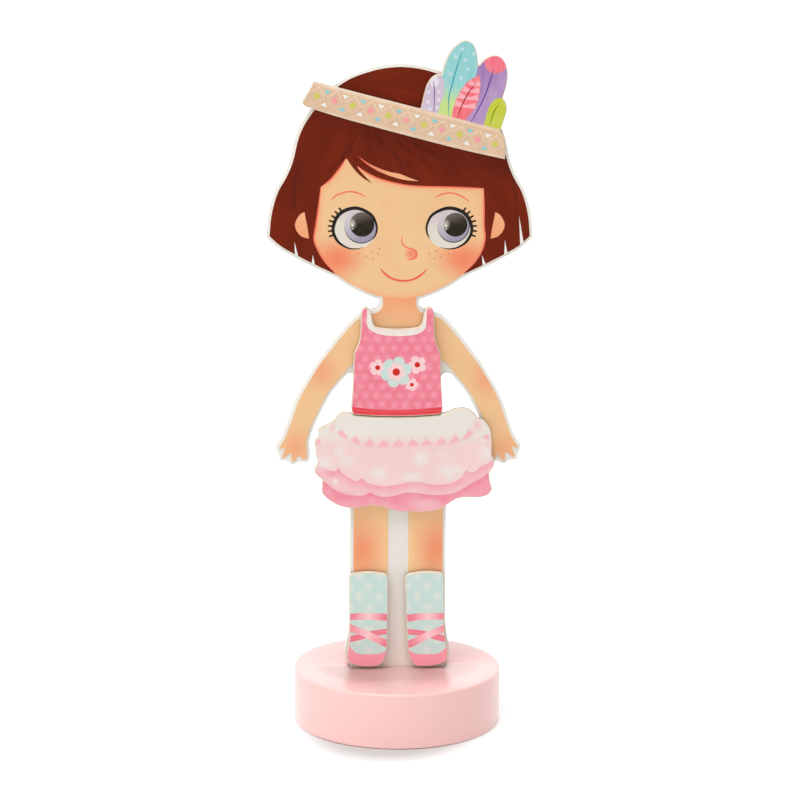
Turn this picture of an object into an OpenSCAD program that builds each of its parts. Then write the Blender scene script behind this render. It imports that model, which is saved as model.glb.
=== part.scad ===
// Wooden dress-up doll: a flat printed doll board in a round stand, with five
// magnetic wooden garments that lift off its front.
// The origin is the centre of the stand's underside, +Z is up and the doll faces -Y.
// All sizes are in millimetres.

/* [Stand] */
// Diameter of the round stand
stand_d = 75; // [60:1:110]
// Height of the round stand
stand_h = 20; // [16:1:30]
// Rounding of the stand's top and bottom edges
stand_edge_r = 0.8; // [0.4:0.1:3]
// Depth of the slot that holds the doll
slot_depth = 12; // [6:0.5:13]
// Play between the slot and each face of the doll board
slot_side_gap = 0.15; // [0.05:0.05:0.4]
// Play between the slot and each end of the doll's tenon
slot_end_gap = 0.9; // [0.2:0.1:2]

/* [Boards] */
// Thickness of the doll board
doll_t = 5; // [4:0.5:8]
// Thickness of the garment boards
garment_t = 3; // [2.6:0.2:5]
// Thickness of the printed sheets
print_t = 0.3; // [0.1:0.05:0.5]
// White border of the doll board round its print
doll_border = 1.1; // [0.6:0.1:2]
// Bare border of a garment board round its print
garment_border = 0.3; // [0.1:0.05:0.8]
// Rounding of the doll board's hollow corners at the neck and the fingers
hollow_r = 1.3; // [0.5:0.1:2]
// Rounding of the doll board's hollow corners under the arms
armpit_r = 2.5; // [1.5:0.1:4]

/* [Figure] */
// Height of the hips over the stand
leg_l = 68; // [60:1:80]
// Width of each leg
leg_w = 12.5; // [10:0.5:15]
// White strip between the legs
leg_gap = 7.2; // [4:0.2:10]
// How far each foot stands out past its leg
foot_flare = 2; // [0.5:0.1:4]
// Height of each foot
foot_h = 17; // [10:0.5:25]
// Height of the printed soles over the stand
sole_lift = 1.6; // [1.4:0.1:3]
// Height of the shoulders over the hips
trunk_l = 60.5; // [52:0.5:70]
// Width of the waist and chest
waist_w = 27.2; // [22:0.2:32]
// Width across the shoulders
shoulder_w = 28.6; // [24:0.2:32]
// Sideways reach of an arm, from the shoulder to the finger tips
arm_reach = 28.5; // [24:0.5:36]
// Drop of an arm, from the shoulder to the finger tips
arm_drop = 51.8; // [44:0.2:60]
// Width of the neck
neck_w = 11.8; // [8:0.2:16]
// Height of the chin over the shoulders
neck_l = 7.1; // [5:0.1:10]
// Rise of the shoulders towards the neck
shoulder_rise = 1.8; // [0.5:0.1:3]
// Radius of the neck's curve into the shoulders
neck_flare_r = 3.4; // [1:0.1:5]
// Width of the head across the tips of the hair
head_w = 92; // [80:1:104]
// Height of the head, from the chin to the crown
head_h = 81.6; // [70:0.2:92]

/* [Headband] */
// Length of the band
band_l = 72.6; // [64:0.2:80]
// Height of the band
band_h = 10.2; // [8:0.2:13]
// Slope of the band across the head, in degrees
band_slope = 14.2; // [0:0.2:20]
// Depth of the band's middle below the crown
band_drop = 18.3; // [14:0.1:26]
// Sideways place of the band's middle
band_x = 1.5; // [-4:0.1:4]
// Distance between the band's two magnets
band_magnet_pitch = 40; // [20:1:50]

/* [Top] */
// Width of the top at its hem
top_w = 32.6; // [28:0.2:36]
// Height of the top
top_h = 39.3; // [34:0.1:44]
// Height of the strap ends over the shoulders
strap_rise = 4.4; // [2:0.1:7]
// Sideways place of the top's middle
top_x = -0.8; // [-2:0.1:2]
// Distance between the top's two magnets
top_magnet_pitch = 14; // [10:0.5:15]
// Height of the top's magnets over its hem
top_magnet_rise = 15.7; // [8:0.1:22]

/* [Skirt] */
// Width of the skirt at its widest ruffle
skirt_w = 64.6; // [56:0.2:72]
// Height of the skirt, from its hem to the corners of its waist
skirt_h = 37.8; // [32:0.2:44]
// Rise of the skirt's waist corners over the hem of the top
waist_rise = 2.7; // [1.5:0.1:4]
// Gap between the hem of the top and the waist of the skirt
waist_gap = 0.4; // [0.3:0.1:1]
// Sideways place of the skirt's middle
skirt_x = 2; // [-2:0.1:4]
// Distance between the skirt's two magnets
skirt_magnet_pitch = 16; // [12:0.5:17]
// Height of the skirt's magnets over its hem
skirt_magnet_rise = 20.8; // [16:0.1:26]

/* [Shoes] */
// Width of a shoe at its sock
shoe_w = 14; // [12:0.2:16]
// Height of a shoe with its sock
shoe_h = 35.4; // [28:0.2:42]
// Gap between the soles and the stand
shoe_lift = 0.9; // [0.6:0.1:2]
// Distance of the left shoe's middle from the doll's middle
left_shoe_x = 10.7; // [9:0.1:12]
// Distance of the right shoe's middle from the doll's middle
right_shoe_x = 10.6; // [9:0.1:12]
// Lean of the right shoe towards the left one, in degrees
right_shoe_lean = 2; // [0:0.5:4]
// Height of a shoe's magnet over its sole
shoe_magnet_rise = 20; // [12:0.5:24]

/* [Magnets] */
// Diameter of the garments' magnets
magnet_d = 6; // [4:0.5:7]
// Thickness of the garments' magnets
magnet_t = 2; // [1:0.1:2.2]
// Diameter of the steel discs in the doll
disc_d = 8; // [6:0.5:10]
// Thickness of the steel discs in the doll
disc_t = 1; // [0.5:0.1:2]
// Play round a magnet or a steel disc in its pocket
pocket_gap = 0.1; // [0.05:0.05:0.3]

/* [Hidden] */
$fn = 64;

// Points on each smooth stretch between two points of an outline
curve_steps = 3;
// Points on a quarter round, such as the stand's edge or a feather's tip
arc_steps = 8;
// How far a cut runs past the face that it opens
cut_past = 1;

// Heights of the figure
hip_z = stand_h + leg_l;
shoulder_z = hip_z + trunk_l;
neck_z = shoulder_z + shoulder_rise;
chin_z = shoulder_z + neck_l;
crown_z = chin_z + head_h;
sole_z = stand_h + sole_lift;
tenon_z = stand_h - slot_depth;

// Widths of the figure
legs_w = 2 * leg_w + leg_gap;
tenon_w = legs_w + 2 * doll_border;

// Faces of the boards, from the doll's back to the garments' front
doll_back_y = doll_t / 2;
doll_front_y = doll_back_y - doll_t;
garment_back_y = doll_front_y - print_t;
garment_front_y = garment_back_y - garment_t;

// Places of the garments: the middle of the band, the hem of the top, the
// skirt and the soles
band_z = crown_z - band_drop;
top_hem_z = shoulder_z + strap_rise - top_h;
skirt_hem_z = top_hem_z + waist_rise - skirt_h;
shoe_z = stand_h + shoe_lift;

// Outlines in percent, from which a named width and height make the real size.
// Each is a list of smooth stretches, which meet in corners.

// Right half of the head, from the crown to the chin: hair, hair's lower edge, chin
head_half = [
    [[0, 100], [11, 99.5], [22, 98.2], [38, 95], [51, 90.2], [61.5, 84.5], [67.5, 80],
     [73, 75.4], [77, 70.5], [79.4, 65.5], [81.2, 61], [84.2, 56], [88.4, 51.2], [92.6, 47.2],
     [96, 42], [98.6, 35.5], [100, 27.3]],
    [[100, 27.3], [91.5, 23], [80, 19.2], [67.4, 15.5], [47, 10]],
    [[47, 10], [37.8, 6.4], [23, 2.4], [11.5, 0.6], [0, 0]]
];

// Right arm from the shoulder: outside, four fingers and inside, with the drop counted down
arm_half = [
    [[-20, -2], [0, 0], [10, 5], [22.5, 13], [36.5, 23], [50, 33], [60.5, 42.5], [71, 52.5],
     [78, 61], [83.5, 70], [89, 78.5], [93, 84], [100, 90]],
    [[100, 90], [99, 91.2], [92.5, 90], [92.8, 91]],
    [[92.8, 91], [96.5, 96.8], [93.5, 97.2], [84, 93.3]],
    [[84, 93.3], [84.5, 98.8], [81.5, 100], [74, 95]],
    [[74, 95], [72, 98], [66, 98], [65.5, 92], [66, 86], [61.5, 77], [55, 69], [47, 60], [38.5, 51.5],
     [26.5, 43], [17, 37], [9, 31.7], [-20, 20]]
];

// Outside of the right foot, from the ankle to the sole
foot_side = [[0, 100], [30, 65], [80, 35], [100, 18], [60, 5], [0, 0]];

// Inside of the right foot, from the sole to the ankle, in percent of the leg's width and the foot's height
foot_inside = [[36, 0], [24, 10], [12, 26], [5, 40], [0, 60]];

// The band, round from its upper left corner: upper edge, right end, lower edge, left end
band_round = [
    [[-94.4, 100], [88.8, 100]],
    [[88.8, 100], [95.5, 65], [100, 0], [102.8, -90]],
    [[102.8, -90], [50, -100], [-50, -95], [-94.4, -80]],
    [[-94.4, -80], [-100, -60], [-97.8, 0], [-94.4, 100]]
];

// Right half of the top, from its hem to its neckline
top_half = [
    [[0, 0], [46, 0.4], [88, 1.6], [95, 2.4], [99, 4.6], [100, 9], [97.5, 24], [96, 38],
     [95, 53], [93.2, 59], [86.5, 64.5], [81.5, 73], [80, 83], [79.5, 92], [77.5, 97.6], [70, 100],
     [61, 98.2], [57, 93.5], [53.5, 85.6], [44.5, 81.6], [20, 80.2], [0, 79.9]]
];

// The skirt, round from its left waist corner: waist, right side, hem, left side
skirt_round = [
    [[16.3, 96.6], [20.4, 96], [50, 95.5], [71.5, 95.6], [77, 98.9], [83.1, 100], [87.3, 96.8], [90.9, 90.5]],
    [[90.9, 90.5], [94, 88], [96.6, 82.5], [97.8, 76.5], [98.3, 67.7], [98.2, 55.6]],
    [[98.2, 55.6], [100, 47.9], [99, 42.6], [97, 37.6]],
    [[97, 37.6], [97.6, 29.4], [98.8, 22], [96.4, 16.4], [91.4, 14], [82.1, 14], [77.2, 10.9],
     [72.2, 5], [66.6, 1], [56, 0], [46, 1.3], [38.2, 5.3], [31.8, 6.4], [23.4, 4.2], [15.5, 5.6],
     [8.5, 11.6], [4.6, 18.5], [4.2, 24], [4.8, 31.5]],
    [[4.8, 31.5], [2.2, 35.2], [0, 40.2], [1.4, 45.2], [2.5, 47.6]],
    [[2.5, 47.6], [0.8, 56.3], [0.6, 63.8], [0, 68.8]],
    [[0, 68.8], [2.2, 72.2], [2.1, 78.8]],
    [[2.1, 78.8], [4.2, 82], [9.9, 86.8], [13.3, 93.7], [16.3, 96.6]]
];

// The right shoe, round from the middle of its sole, with its outside to the right
shoe_round = [
    [[-14, 0], [37, 0.6], [83, 3.2], [104, 6.9], [111, 11.2], [109, 17.5], [103, 23.5], [98.5, 36.5],
     [99, 62], [100, 91], [96.7, 96], [85.7, 98.2], [40, 99.5], [-2, 100], [-45, 99.3], [-83, 98],
     [-95, 96], [-99.6, 91], [-100, 61.5], [-98.6, 36.2], [-97.4, 22], [-95, 16.5], [-88.5, 10.6], [-74, 4.8],
     [-52, 1.2], [-14, 0]]
];

// Feathers on the band: place along it, lean, height over it, width, width at the foot
feathers = [[7.8, 0, 13.2, 7.4, 6.6], [13.9, 0.3, 27, 11.6, 6], [18.3, 2.4, 16.3, 7.2, 4.8],
            [24.5, 0.9, 24.6, 12.2, 6.4], [29.9, 0.6, 10.7, 6.5, 5.8]];
// Depth to which the feathers' feet reach into the band
feather_sink = 3;
// Share of a feather's height at which it is widest
feather_waist = 0.62;
// Rounding of the hollow corners between the feathers
feather_blend_r = 0.4;
// Rounding of the hollow corners of the printed figure
figure_blend_r = 0.3;

// Point of a smooth curve through b and c, with a and d beyond them
function curve_point(a, b, c, d, t) =
    0.5 * (2 * b + (c - a) * t + (2 * a - 5 * b + 4 * c - d) * t * t + (3 * b - a - 3 * c + d) * t * t * t);

// Smooth stretch through its points, without its last point. The points before
// and after it, where they are given, set its direction at its ends.
function stretch(p, before, after) = [
    for (i = [0 : len(p) - 2])
        let (first = is_undef(before) ? 2 * p[0] - p[1] : before,
             last = is_undef(after) ? 2 * p[i + 1] - p[i] : after,
             a = i > 0 ? p[i - 1] : first,
             d = i < len(p) - 2 ? p[i + 2] : last)
        for (s = [0 : curve_steps - 1]) curve_point(a, p[i], p[i + 1], d, s / curve_steps)
];

// Points at their real size, from points in percent
function sized(p, w, h) = [for (q = p) [q[0] * w / 100, q[1] * h / 100]];

// Closed outline from smooth stretches in percent of a width and a height
function round_outline(parts, w, h) = [for (p = parts) each stretch(sized(p, w, h))];

// Point on the other side of the middle line
function other_side(p) = [-p[0], p[1]];

// Closed outline from the right half's stretches, which start and end square to the middle line
function half_outline(parts, w, h) =
    let (real = [for (p = parts) sized(p, w, h)],
         last = len(real) - 1,
         end = len(real[last]) - 1,
         right = concat(
             [for (i = [0 : last]) each stretch(real[i], i == 0 ? other_side(real[0][1]) : undef,
                                                i == last ? other_side(real[last][end - 1]) : undef)],
             [real[last][end]]))
    concat(right, [for (i = [len(right) - 2 : -1 : 1]) other_side(right[i])]);

// Width of a feather at a share of its height: it grows from the foot, then ends in a round tip
function feather_width(share, wide, foot) =
    share < feather_waist
        ? wide - (wide - foot) * pow(1 - share / feather_waist, 2)
        : wide * sqrt(max(0, 1 - pow((share - feather_waist) / (1 - feather_waist), 2)));

// Outline of a feather along a leaning line, from its foot in the band
function feather_outline(lean, rise, wide, foot) =
    let (below = [for (i = [0 : arc_steps]) feather_waist * i / arc_steps],
         above = [for (i = [1 : arc_steps]) feather_waist + (1 - feather_waist) * sin(90 * i / arc_steps)],
         shares = concat(below, above),
         tall = rise + feather_sink,
         right = [for (s = shares) [lean * s + feather_width(s, wide, foot) / 2, s * tall]],
         left = [for (s = shares) [lean * s - feather_width(s, wide, foot) / 2, s * tall]])
    concat(right, [for (i = [len(left) - 2 : -1 : 0]) left[i]]);

// Places of a pair of magnets on a line with a slope
function magnet_pair(x, z, pitch, slope) =
    [for (s = [-1, 1]) [x + s * pitch / 2 * cos(slope), z - s * pitch / 2 * sin(slope)]];

band_spots = magnet_pair(band_x, band_z, band_magnet_pitch, band_slope);
top_spots = magnet_pair(top_x, top_hem_z + top_magnet_rise, top_magnet_pitch, 0);
skirt_spots = magnet_pair(skirt_x, skirt_hem_z + skirt_magnet_rise, skirt_magnet_pitch, 0);
left_shoe_spot = [-left_shoe_x, shoe_z + shoe_magnet_rise];
right_shoe_spot = [right_shoe_x - shoe_magnet_rise * sin(right_shoe_lean),
                   shoe_z + shoe_magnet_rise * cos(right_shoe_lean)];
all_spots = concat(band_spots, top_spots, skirt_spots, [left_shoe_spot, right_shoe_spot]);

// Flat outlines, drawn in the doll's X and Z

module mirrored() {
    children();
    mirror([1, 0]) children();
}

module head_shape() {
    translate([0, chin_z]) polygon(half_outline(head_half, head_w / 2, head_h));
}

// Half of the neck, from inside the trunk to inside the head, curving out into the shoulder
module neck_shape() {
    flare = [for (i = [0 : arc_steps])
        let (a = 90 * i / arc_steps)
        [neck_w / 2 + neck_flare_r * (1 - sin(a)), neck_z + neck_flare_r * (1 - cos(a))]];
    polygon(concat([[0, shoulder_z], [neck_w / 2 + neck_flare_r, shoulder_z]], flare,
                   [[neck_w / 2, chin_z + neck_l], [0, chin_z + neck_l]]));
}

// Half of the trunk, from the hips over the waist to the shoulder's slope
module trunk_shape() {
    hip_curve_h = 2 * leg_w;
    side = [for (i = [0 : arc_steps])
        let (t = i / arc_steps)
        [(legs_w + (waist_w - legs_w) * (1 - cos(180 * t)) / 2) / 2, hip_z + hip_curve_h * t]];
    shoulder = [[waist_w / 2, shoulder_z - shoulder_w / 2], [shoulder_w / 2, shoulder_z],
                [neck_w / 2 + neck_flare_r, neck_z], [0, neck_z]];
    polygon(concat([[0, hip_z]], side, shoulder));
}

module arm_shape() {
    translate([shoulder_w / 2, shoulder_z]) polygon(round_outline(arm_half, arm_reach, -arm_drop));
}

// Leg with a straight inside, and a foot that stands out at its outside and is round at its inside
module leg_shape() {
    inside = leg_gap / 2;
    outside = inside + leg_w;
    foot = [for (p = stretch(sized(foot_side, foot_flare, foot_h))) p + [outside, sole_z]];
    instep = [for (p = stretch(sized(foot_inside, leg_w, foot_h))) p + [inside, sole_z]];
    polygon(concat([[inside, hip_z], [outside, hip_z]], foot, [[outside, sole_z]], instep));
}

// The figure below its neck
module body_shape() {
    mirrored() {
        trunk_shape();
        arm_shape();
        leg_shape();
    }
}

// Printed figure, with its hollow corners a little rounded
module figure_shape() {
    offset(r = -figure_blend_r) offset(delta = figure_blend_r) {
        head_shape();
        mirrored() neck_shape();
        body_shape();
    }
}

// A shape with the doll board's border round it, and its hollow corners rounded
module bordered(r) {
    offset(r = -r) offset(delta = doll_border + r) children();
}

// Doll board: the figure with its border, closed between the legs, and its tenon
module doll_shape() {
    bordered(hollow_r) figure_shape();
    bordered(armpit_r) body_shape();
    translate([-tenon_w / 2, tenon_z]) square([tenon_w, hip_z - tenon_z]);
}

// Band with slanted ends, and the feathers that stand on its upper edge
module headband_shape() {
    foot_z = band_h / 2 - feather_sink;
    translate([band_x, band_z]) rotate(-band_slope)
        offset(r = -feather_blend_r) offset(delta = feather_blend_r) {
            polygon(round_outline(band_round, band_l / 2, band_h / 2));
            for (f = feathers)
                translate([f[0], foot_z]) polygon(feather_outline(f[1], f[2], f[3], f[4]));
        }
}

module top_shape() {
    translate([top_x, top_hem_z]) polygon(half_outline(top_half, top_w / 2, top_h));
}

// Skirt whose waist leaves an even gap to the hem of the top
module skirt_shape() {
    difference() {
        translate([skirt_x - skirt_w / 2, skirt_hem_z]) polygon(round_outline(skirt_round, skirt_w, skirt_h));
        offset(delta = waist_gap) top_shape();
    }
}

module shoe_shape() {
    polygon(round_outline(shoe_round, shoe_w / 2, shoe_h));
}

module left_shoe_shape() {
    translate([-left_shoe_x, shoe_z]) mirror([1, 0]) shoe_shape();
}

module right_shoe_shape() {
    translate([right_shoe_x, shoe_z]) rotate(right_shoe_lean) shoe_shape();
}

// Boards, sheets and discs, made from the flat outlines

// A board that stands upright, with its back at a given Y
module upright(back_y, thick) {
    translate([0, back_y, 0]) rotate([90, 0, 0]) linear_extrude(thick) children();
}

// A round piece that stands at a given place, with its back at a given Y
module round_at(spot, back_y, d, thick) {
    translate([spot[0], back_y, spot[1]]) rotate([90, 0, 0]) cylinder(d = d, h = thick);
}

// A garment's board, with its magnets' pockets open at the back
module garment_board(spots) {
    difference() {
        upright(garment_back_y, garment_t) children();
        for (spot = spots)
            round_at(spot, garment_back_y + cut_past, magnet_d + 2 * pocket_gap, magnet_t + cut_past);
    }
}

module garment_print() {
    upright(garment_front_y, print_t) offset(delta = -garment_border) children();
}

// A magnet, flush with the back of its garment's board
module magnet(spot) {
    color("gray") round_at(spot, garment_back_y, magnet_d, magnet_t);
}

// A steel disc, flush with the front of the doll board
module steel_disc(spot) {
    color("silver") round_at(spot, doll_front_y + disc_t, disc_d, disc_t);
}

// Sub-parts

// Turned stand with rounded edges and the doll's slot
module stand() {
    r = stand_d / 2;
    low_edge = [for (i = [0 : arc_steps])
        let (a = 90 * i / arc_steps)
        [r - stand_edge_r * (1 - sin(a)), stand_edge_r * (1 - cos(a))]];
    high_edge = [for (i = [arc_steps : -1 : 0]) [low_edge[i][0], stand_h - low_edge[i][1]]];
    half = concat([[0, 0]], low_edge, high_edge, [[0, stand_h]]);
    slot = [tenon_w + 2 * slot_end_gap, doll_t + 2 * slot_side_gap, slot_depth + cut_past];
    color("pink") difference() {
        rotate_extrude() polygon(half);
        translate([-slot[0] / 2, -slot[1] / 2, tenon_z]) cube(slot);
    }
}

module doll_board() {
    color("whitesmoke") difference() {
        upright(doll_back_y, doll_t) doll_shape();
        for (spot = all_spots)
            round_at(spot, doll_front_y + disc_t, disc_d + 2 * pocket_gap, disc_t + cut_past);
    }
}

module doll_print() {
    color("burlywood") upright(doll_front_y, print_t) figure_shape();
}

module headband_left_disc() {
    steel_disc(band_spots[0]);
}

module headband_right_disc() {
    steel_disc(band_spots[1]);
}

module top_left_disc() {
    steel_disc(top_spots[0]);
}

module top_right_disc() {
    steel_disc(top_spots[1]);
}

module skirt_left_disc() {
    steel_disc(skirt_spots[0]);
}

module skirt_right_disc() {
    steel_disc(skirt_spots[1]);
}

module left_shoe_disc() {
    steel_disc(left_shoe_spot);
}

module right_shoe_disc() {
    steel_disc(right_shoe_spot);
}

module headband_board() {
    color("wheat") garment_board(band_spots) headband_shape();
}

module headband_print() {
    color("tan") garment_print() headband_shape();
}

module headband_left_magnet() {
    magnet(band_spots[0]);
}

module headband_right_magnet() {
    magnet(band_spots[1]);
}

module top_board() {
    color("wheat") garment_board(top_spots) top_shape();
}

module top_print() {
    color("palevioletred") garment_print() top_shape();
}

module top_left_magnet() {
    magnet(top_spots[0]);
}

module top_right_magnet() {
    magnet(top_spots[1]);
}

module skirt_board() {
    color("wheat") garment_board(skirt_spots) skirt_shape();
}

module skirt_print() {
    color("mistyrose") garment_print() skirt_shape();
}

module skirt_left_magnet() {
    magnet(skirt_spots[0]);
}

module skirt_right_magnet() {
    magnet(skirt_spots[1]);
}

module left_shoe_board() {
    color("wheat") garment_board([left_shoe_spot]) left_shoe_shape();
}

module left_shoe_print() {
    color("powderblue") garment_print() left_shoe_shape();
}

module left_shoe_magnet() {
    magnet(left_shoe_spot);
}

module right_shoe_board() {
    color("wheat") garment_board([right_shoe_spot]) right_shoe_shape();
}

module right_shoe_print() {
    color("powderblue") garment_print() right_shoe_shape();
}

module right_shoe_magnet() {
    magnet(right_shoe_spot);
}

stand();
doll_board();
doll_print();
headband_left_disc();
headband_right_disc();
top_left_disc();
top_right_disc();
skirt_left_disc();
skirt_right_disc();
left_shoe_disc();
right_shoe_disc();
headband_board();
headband_print();
headband_left_magnet();
headband_right_magnet();
top_board();
top_print();
top_left_magnet();
top_right_magnet();
skirt_board();
skirt_print();
skirt_left_magnet();
skirt_right_magnet();
left_shoe_board();
left_shoe_print();
left_shoe_magnet();
right_shoe_board();
right_shoe_print();
right_shoe_magnet();
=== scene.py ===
"""Wooden dress-up doll on a round stand, dressed in wooden clothes held by magnets.

Points of the flat pictures are (x, z) in millimetres in the CAD frame, as seen from the front.
"""

import functools
import logging
import math
from abc import ABC, abstractmethod
from collections.abc import Callable, Sequence
from dataclasses import dataclass
from enum import Enum
from typing import Any, Protocol

import bmesh
import bpy
from mathutils import Matrix, Vector
from mathutils.geometry import delaunay_2d_cdt


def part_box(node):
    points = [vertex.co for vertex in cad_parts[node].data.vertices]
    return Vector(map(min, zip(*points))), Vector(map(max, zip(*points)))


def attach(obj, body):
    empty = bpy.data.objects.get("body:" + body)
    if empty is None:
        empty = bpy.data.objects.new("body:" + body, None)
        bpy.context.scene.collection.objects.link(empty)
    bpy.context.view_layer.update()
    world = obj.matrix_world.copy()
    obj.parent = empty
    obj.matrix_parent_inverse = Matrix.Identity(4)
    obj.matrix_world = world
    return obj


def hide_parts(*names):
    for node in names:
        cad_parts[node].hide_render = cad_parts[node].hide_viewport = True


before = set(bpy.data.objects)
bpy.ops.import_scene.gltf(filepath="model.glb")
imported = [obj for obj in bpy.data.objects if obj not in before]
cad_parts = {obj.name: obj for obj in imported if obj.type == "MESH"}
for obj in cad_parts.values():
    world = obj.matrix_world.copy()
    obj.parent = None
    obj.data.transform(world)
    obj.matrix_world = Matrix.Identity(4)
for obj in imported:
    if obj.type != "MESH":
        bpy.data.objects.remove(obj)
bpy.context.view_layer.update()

log = logging.getLogger("doll")

MM = 0.001
MERGE = 0.002 * MM
RIGHT_ANGLE = math.radians(90)
FLAT_FACE = 0.999
BACK_FACE = 0.9
SHARPEST_TURN = 0.2
LEAST_MITRE = 0.6
PETAL_STEPS = 14
ALL_TRIANGLES = 0
TRIANGLE_GAP = 1e-4
INK_ATTRIBUTE = "ink"
GRID_PITCH = 1.4
CURVE_STEPS = 6
PURE_WHITE = (1.0, 1.0, 1.0, 1.0)

Mesh = bpy.types.Mesh
Object = bpy.types.Object
Tree = bpy.types.NodeTree

Point = tuple[float, float]
Place = tuple[float, float, float]
Path = Sequence[Point]
Outline = list[Point]
Colour = tuple[float, float, float, float]


# Colours

def linear_colour(red: float, green: float, blue: float) -> Colour:
    """Turns a screen colour into linear light.

    Args:
        red: Red from 0 to 255.
        green: Green from 0 to 255.
        blue: Blue from 0 to 255.

    Returns:
        The linear colour with full alpha.
    """
    shares = [channel / 255 for channel in (red, green, blue)]
    light = [s / 12.92 if s <= 0.04045 else ((s + 0.055) / 1.055) ** 2.4 for s in shares]
    return (*light, 1.0)


class Ink(Enum):
    """The colours of the prints, paints and woods, from 0 to 255."""

    WHITE = (236, 234, 229)
    CREAM = (237, 231, 222)
    OUTLINE = (34, 31, 28)
    HAIR = (115, 32, 5)
    HAIR_STRAND = (97, 26, 7)
    HAIR_DARK = (84, 22, 6)
    HAIR_LIGHT = (133, 41, 15)
    SKIN = (238, 196, 148)
    # Painted light: a lighter skin for the legs, against the shade that the skirt casts on them.
    LEG_PAINTED_LIGHT = (247, 204, 154)
    SKIN_WARM = (243, 176, 130)
    BLUSH = (239, 132, 98)
    NECK = (243, 160, 118)
    CORAL = (240, 118, 94)
    LIP = (234, 102, 74)
    FRECKLE = (205, 118, 76)
    EYE_WHITE = (226, 217, 204)
    EYE_SHADE = (211, 196, 199)
    IRIS = (157, 152, 172)
    IRIS_PALE = (204, 198, 204)
    IRIS_RIM = (92, 86, 100)
    PUPIL = (30, 27, 14)
    PUPIL_LIGHT = (112, 97, 92)
    CLOTH = (243, 236, 224)
    TOP_PINK = (237, 127, 147)
    TOP_DOT = (246, 166, 180)
    TOP_RED = (233, 85, 93)
    TOP_RED_DARK = (219, 58, 70)
    SKIRT_CREAM = (233, 226, 218)
    SKIRT_PALE = (242, 208, 206)
    SKIRT_MARK = (245, 178, 190)
    RUFFLE = (242, 194, 198)
    RUFFLE_SHADE = (243, 160, 177)
    FLOUNCE = (243, 161, 174)
    FLOUNCE_SHADE = (237, 137, 157)
    MINT = (196, 223, 217)
    MINT_DOT = (223, 229, 221)
    RIBBON = (237, 128, 147)
    RIBBON_LIGHT = (250, 207, 210)
    RIBBON_DEEP = (243, 155, 171)
    BAND = (221, 187, 157)
    BAND_EDGE = (236, 208, 182)
    BAND_LINE = (211, 168, 137)
    BAND_LIME = (205, 204, 98)
    LIME = (194, 202, 46)
    ROSE = (242, 156, 160)
    SKY = (135, 208, 214)
    SNOW = (240, 239, 236)
    LILAC = (206, 187, 209)
    LILAC_DOT = (229, 219, 233)
    LILAC_DARK = (120, 88, 150)
    TEAL = (140, 205, 206)
    TEAL_DARK = (60, 158, 172)
    TEAL_DOT = (192, 220, 224)
    LEAF = (196, 220, 128)
    LEAF_DARK = (124, 140, 40)
    RED = (241, 108, 120)
    RED_DARK = (176, 40, 62)
    RED_PALE = (247, 170, 178)
    PURPLE = (156, 117, 176)
    PURPLE_PALE = (175, 139, 190)
    PURPLE_DARK = (98, 68, 150)
    CORAL_TIP = (241, 108, 128)
    CHERRY = (205, 44, 36)
    STAND_PINK = (250, 201, 197)
    BOARD_WHITE = (233, 229, 222)
    # Painted shade: the floor as the camera sees it, darker than the light it bounces.
    FLOOR = (199, 199, 198)
    WOOD = (229, 218, 200)
    WOOD_DARK = (207, 187, 156)
    SCORCH = (112, 74, 46)
    SCORCH_DARK = (68, 42, 24)
    NICKEL = (196, 194, 190)
    STEEL = (150, 150, 152)

    @property
    def linear(self) -> Colour:
        """The colour in linear light."""
        return linear_colour(*self.value)

    def at(self, point: Point) -> Colour:
        """Gives the colour at a point, which is the same at all of them."""
        return self.linear


def blended(first: Colour, second: Colour, share: float) -> Colour:
    """Mixes two linear colours, by a share of the second that is held between 0 and 1."""
    part = min(max(share, 0.0), 1.0)
    return tuple(a + (b - a) * part for a, b in zip(first, second))


# Outlines of flat pictures

def curve(points: Path, closed: bool = False, steps: int = CURVE_STEPS) -> list[tuple[float, ...]]:
    """Draws a smooth curve through points of any dimension.

    Args:
        points: The points that the curve passes through.
        closed: Whether the curve returns to its start.
        steps: How many points stand for each stretch.

    Returns:
        The points of the curve.
    """
    count = len(points)
    pick = (lambda i: points[i % count]) if closed else (lambda i: points[min(max(i, 0), count - 1)])
    drawn = []
    for i in range(count if closed else count - 1):
        before, start, end, after = pick(i - 1), pick(i), pick(i + 1), pick(i + 2)
        for step in range(steps):
            t = step / steps
            drawn.append(tuple(
                b + 0.5 * t * (c - a + t * (2 * a - 5 * b + 4 * c - d + t * (3 * (b - c) + d - a)))
                for a, b, c, d in zip(before, start, end, after)
            ))
    if not closed:
        drawn.append(tuple(points[-1]))
    return drawn


def cornered(*stretches: Path) -> Outline:
    """Joins smooth stretches into one outline.

    Args:
        *stretches: The stretches, with a corner where two of them meet.

    Returns:
        The outline.
    """
    outline = [point for stretch in stretches for point in curve(stretch)[:-1]]
    if stretches[-1][-1] != stretches[0][0]:
        outline.append(tuple(stretches[-1][-1]))
    return outline


def rectangle(left: float, low: float, right: float, high: float) -> Outline:
    """Draws a rectangle from its four sides."""
    return [(left, low), (right, low), (right, high), (left, high)]


def ellipse(middle: Point, across: float, up: float, steps: int = 48) -> Outline:
    """Draws an ellipse from its middle and its two radii."""
    turns = [math.tau * i / steps for i in range(steps)]
    return [(middle[0] + across * math.cos(t), middle[1] + up * math.sin(t)) for t in turns]


def disc(middle: Point, radius: float, steps: int = 48) -> Outline:
    """Draws a circle from its middle and its radius."""
    return ellipse(middle, radius, radius, steps)


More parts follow.
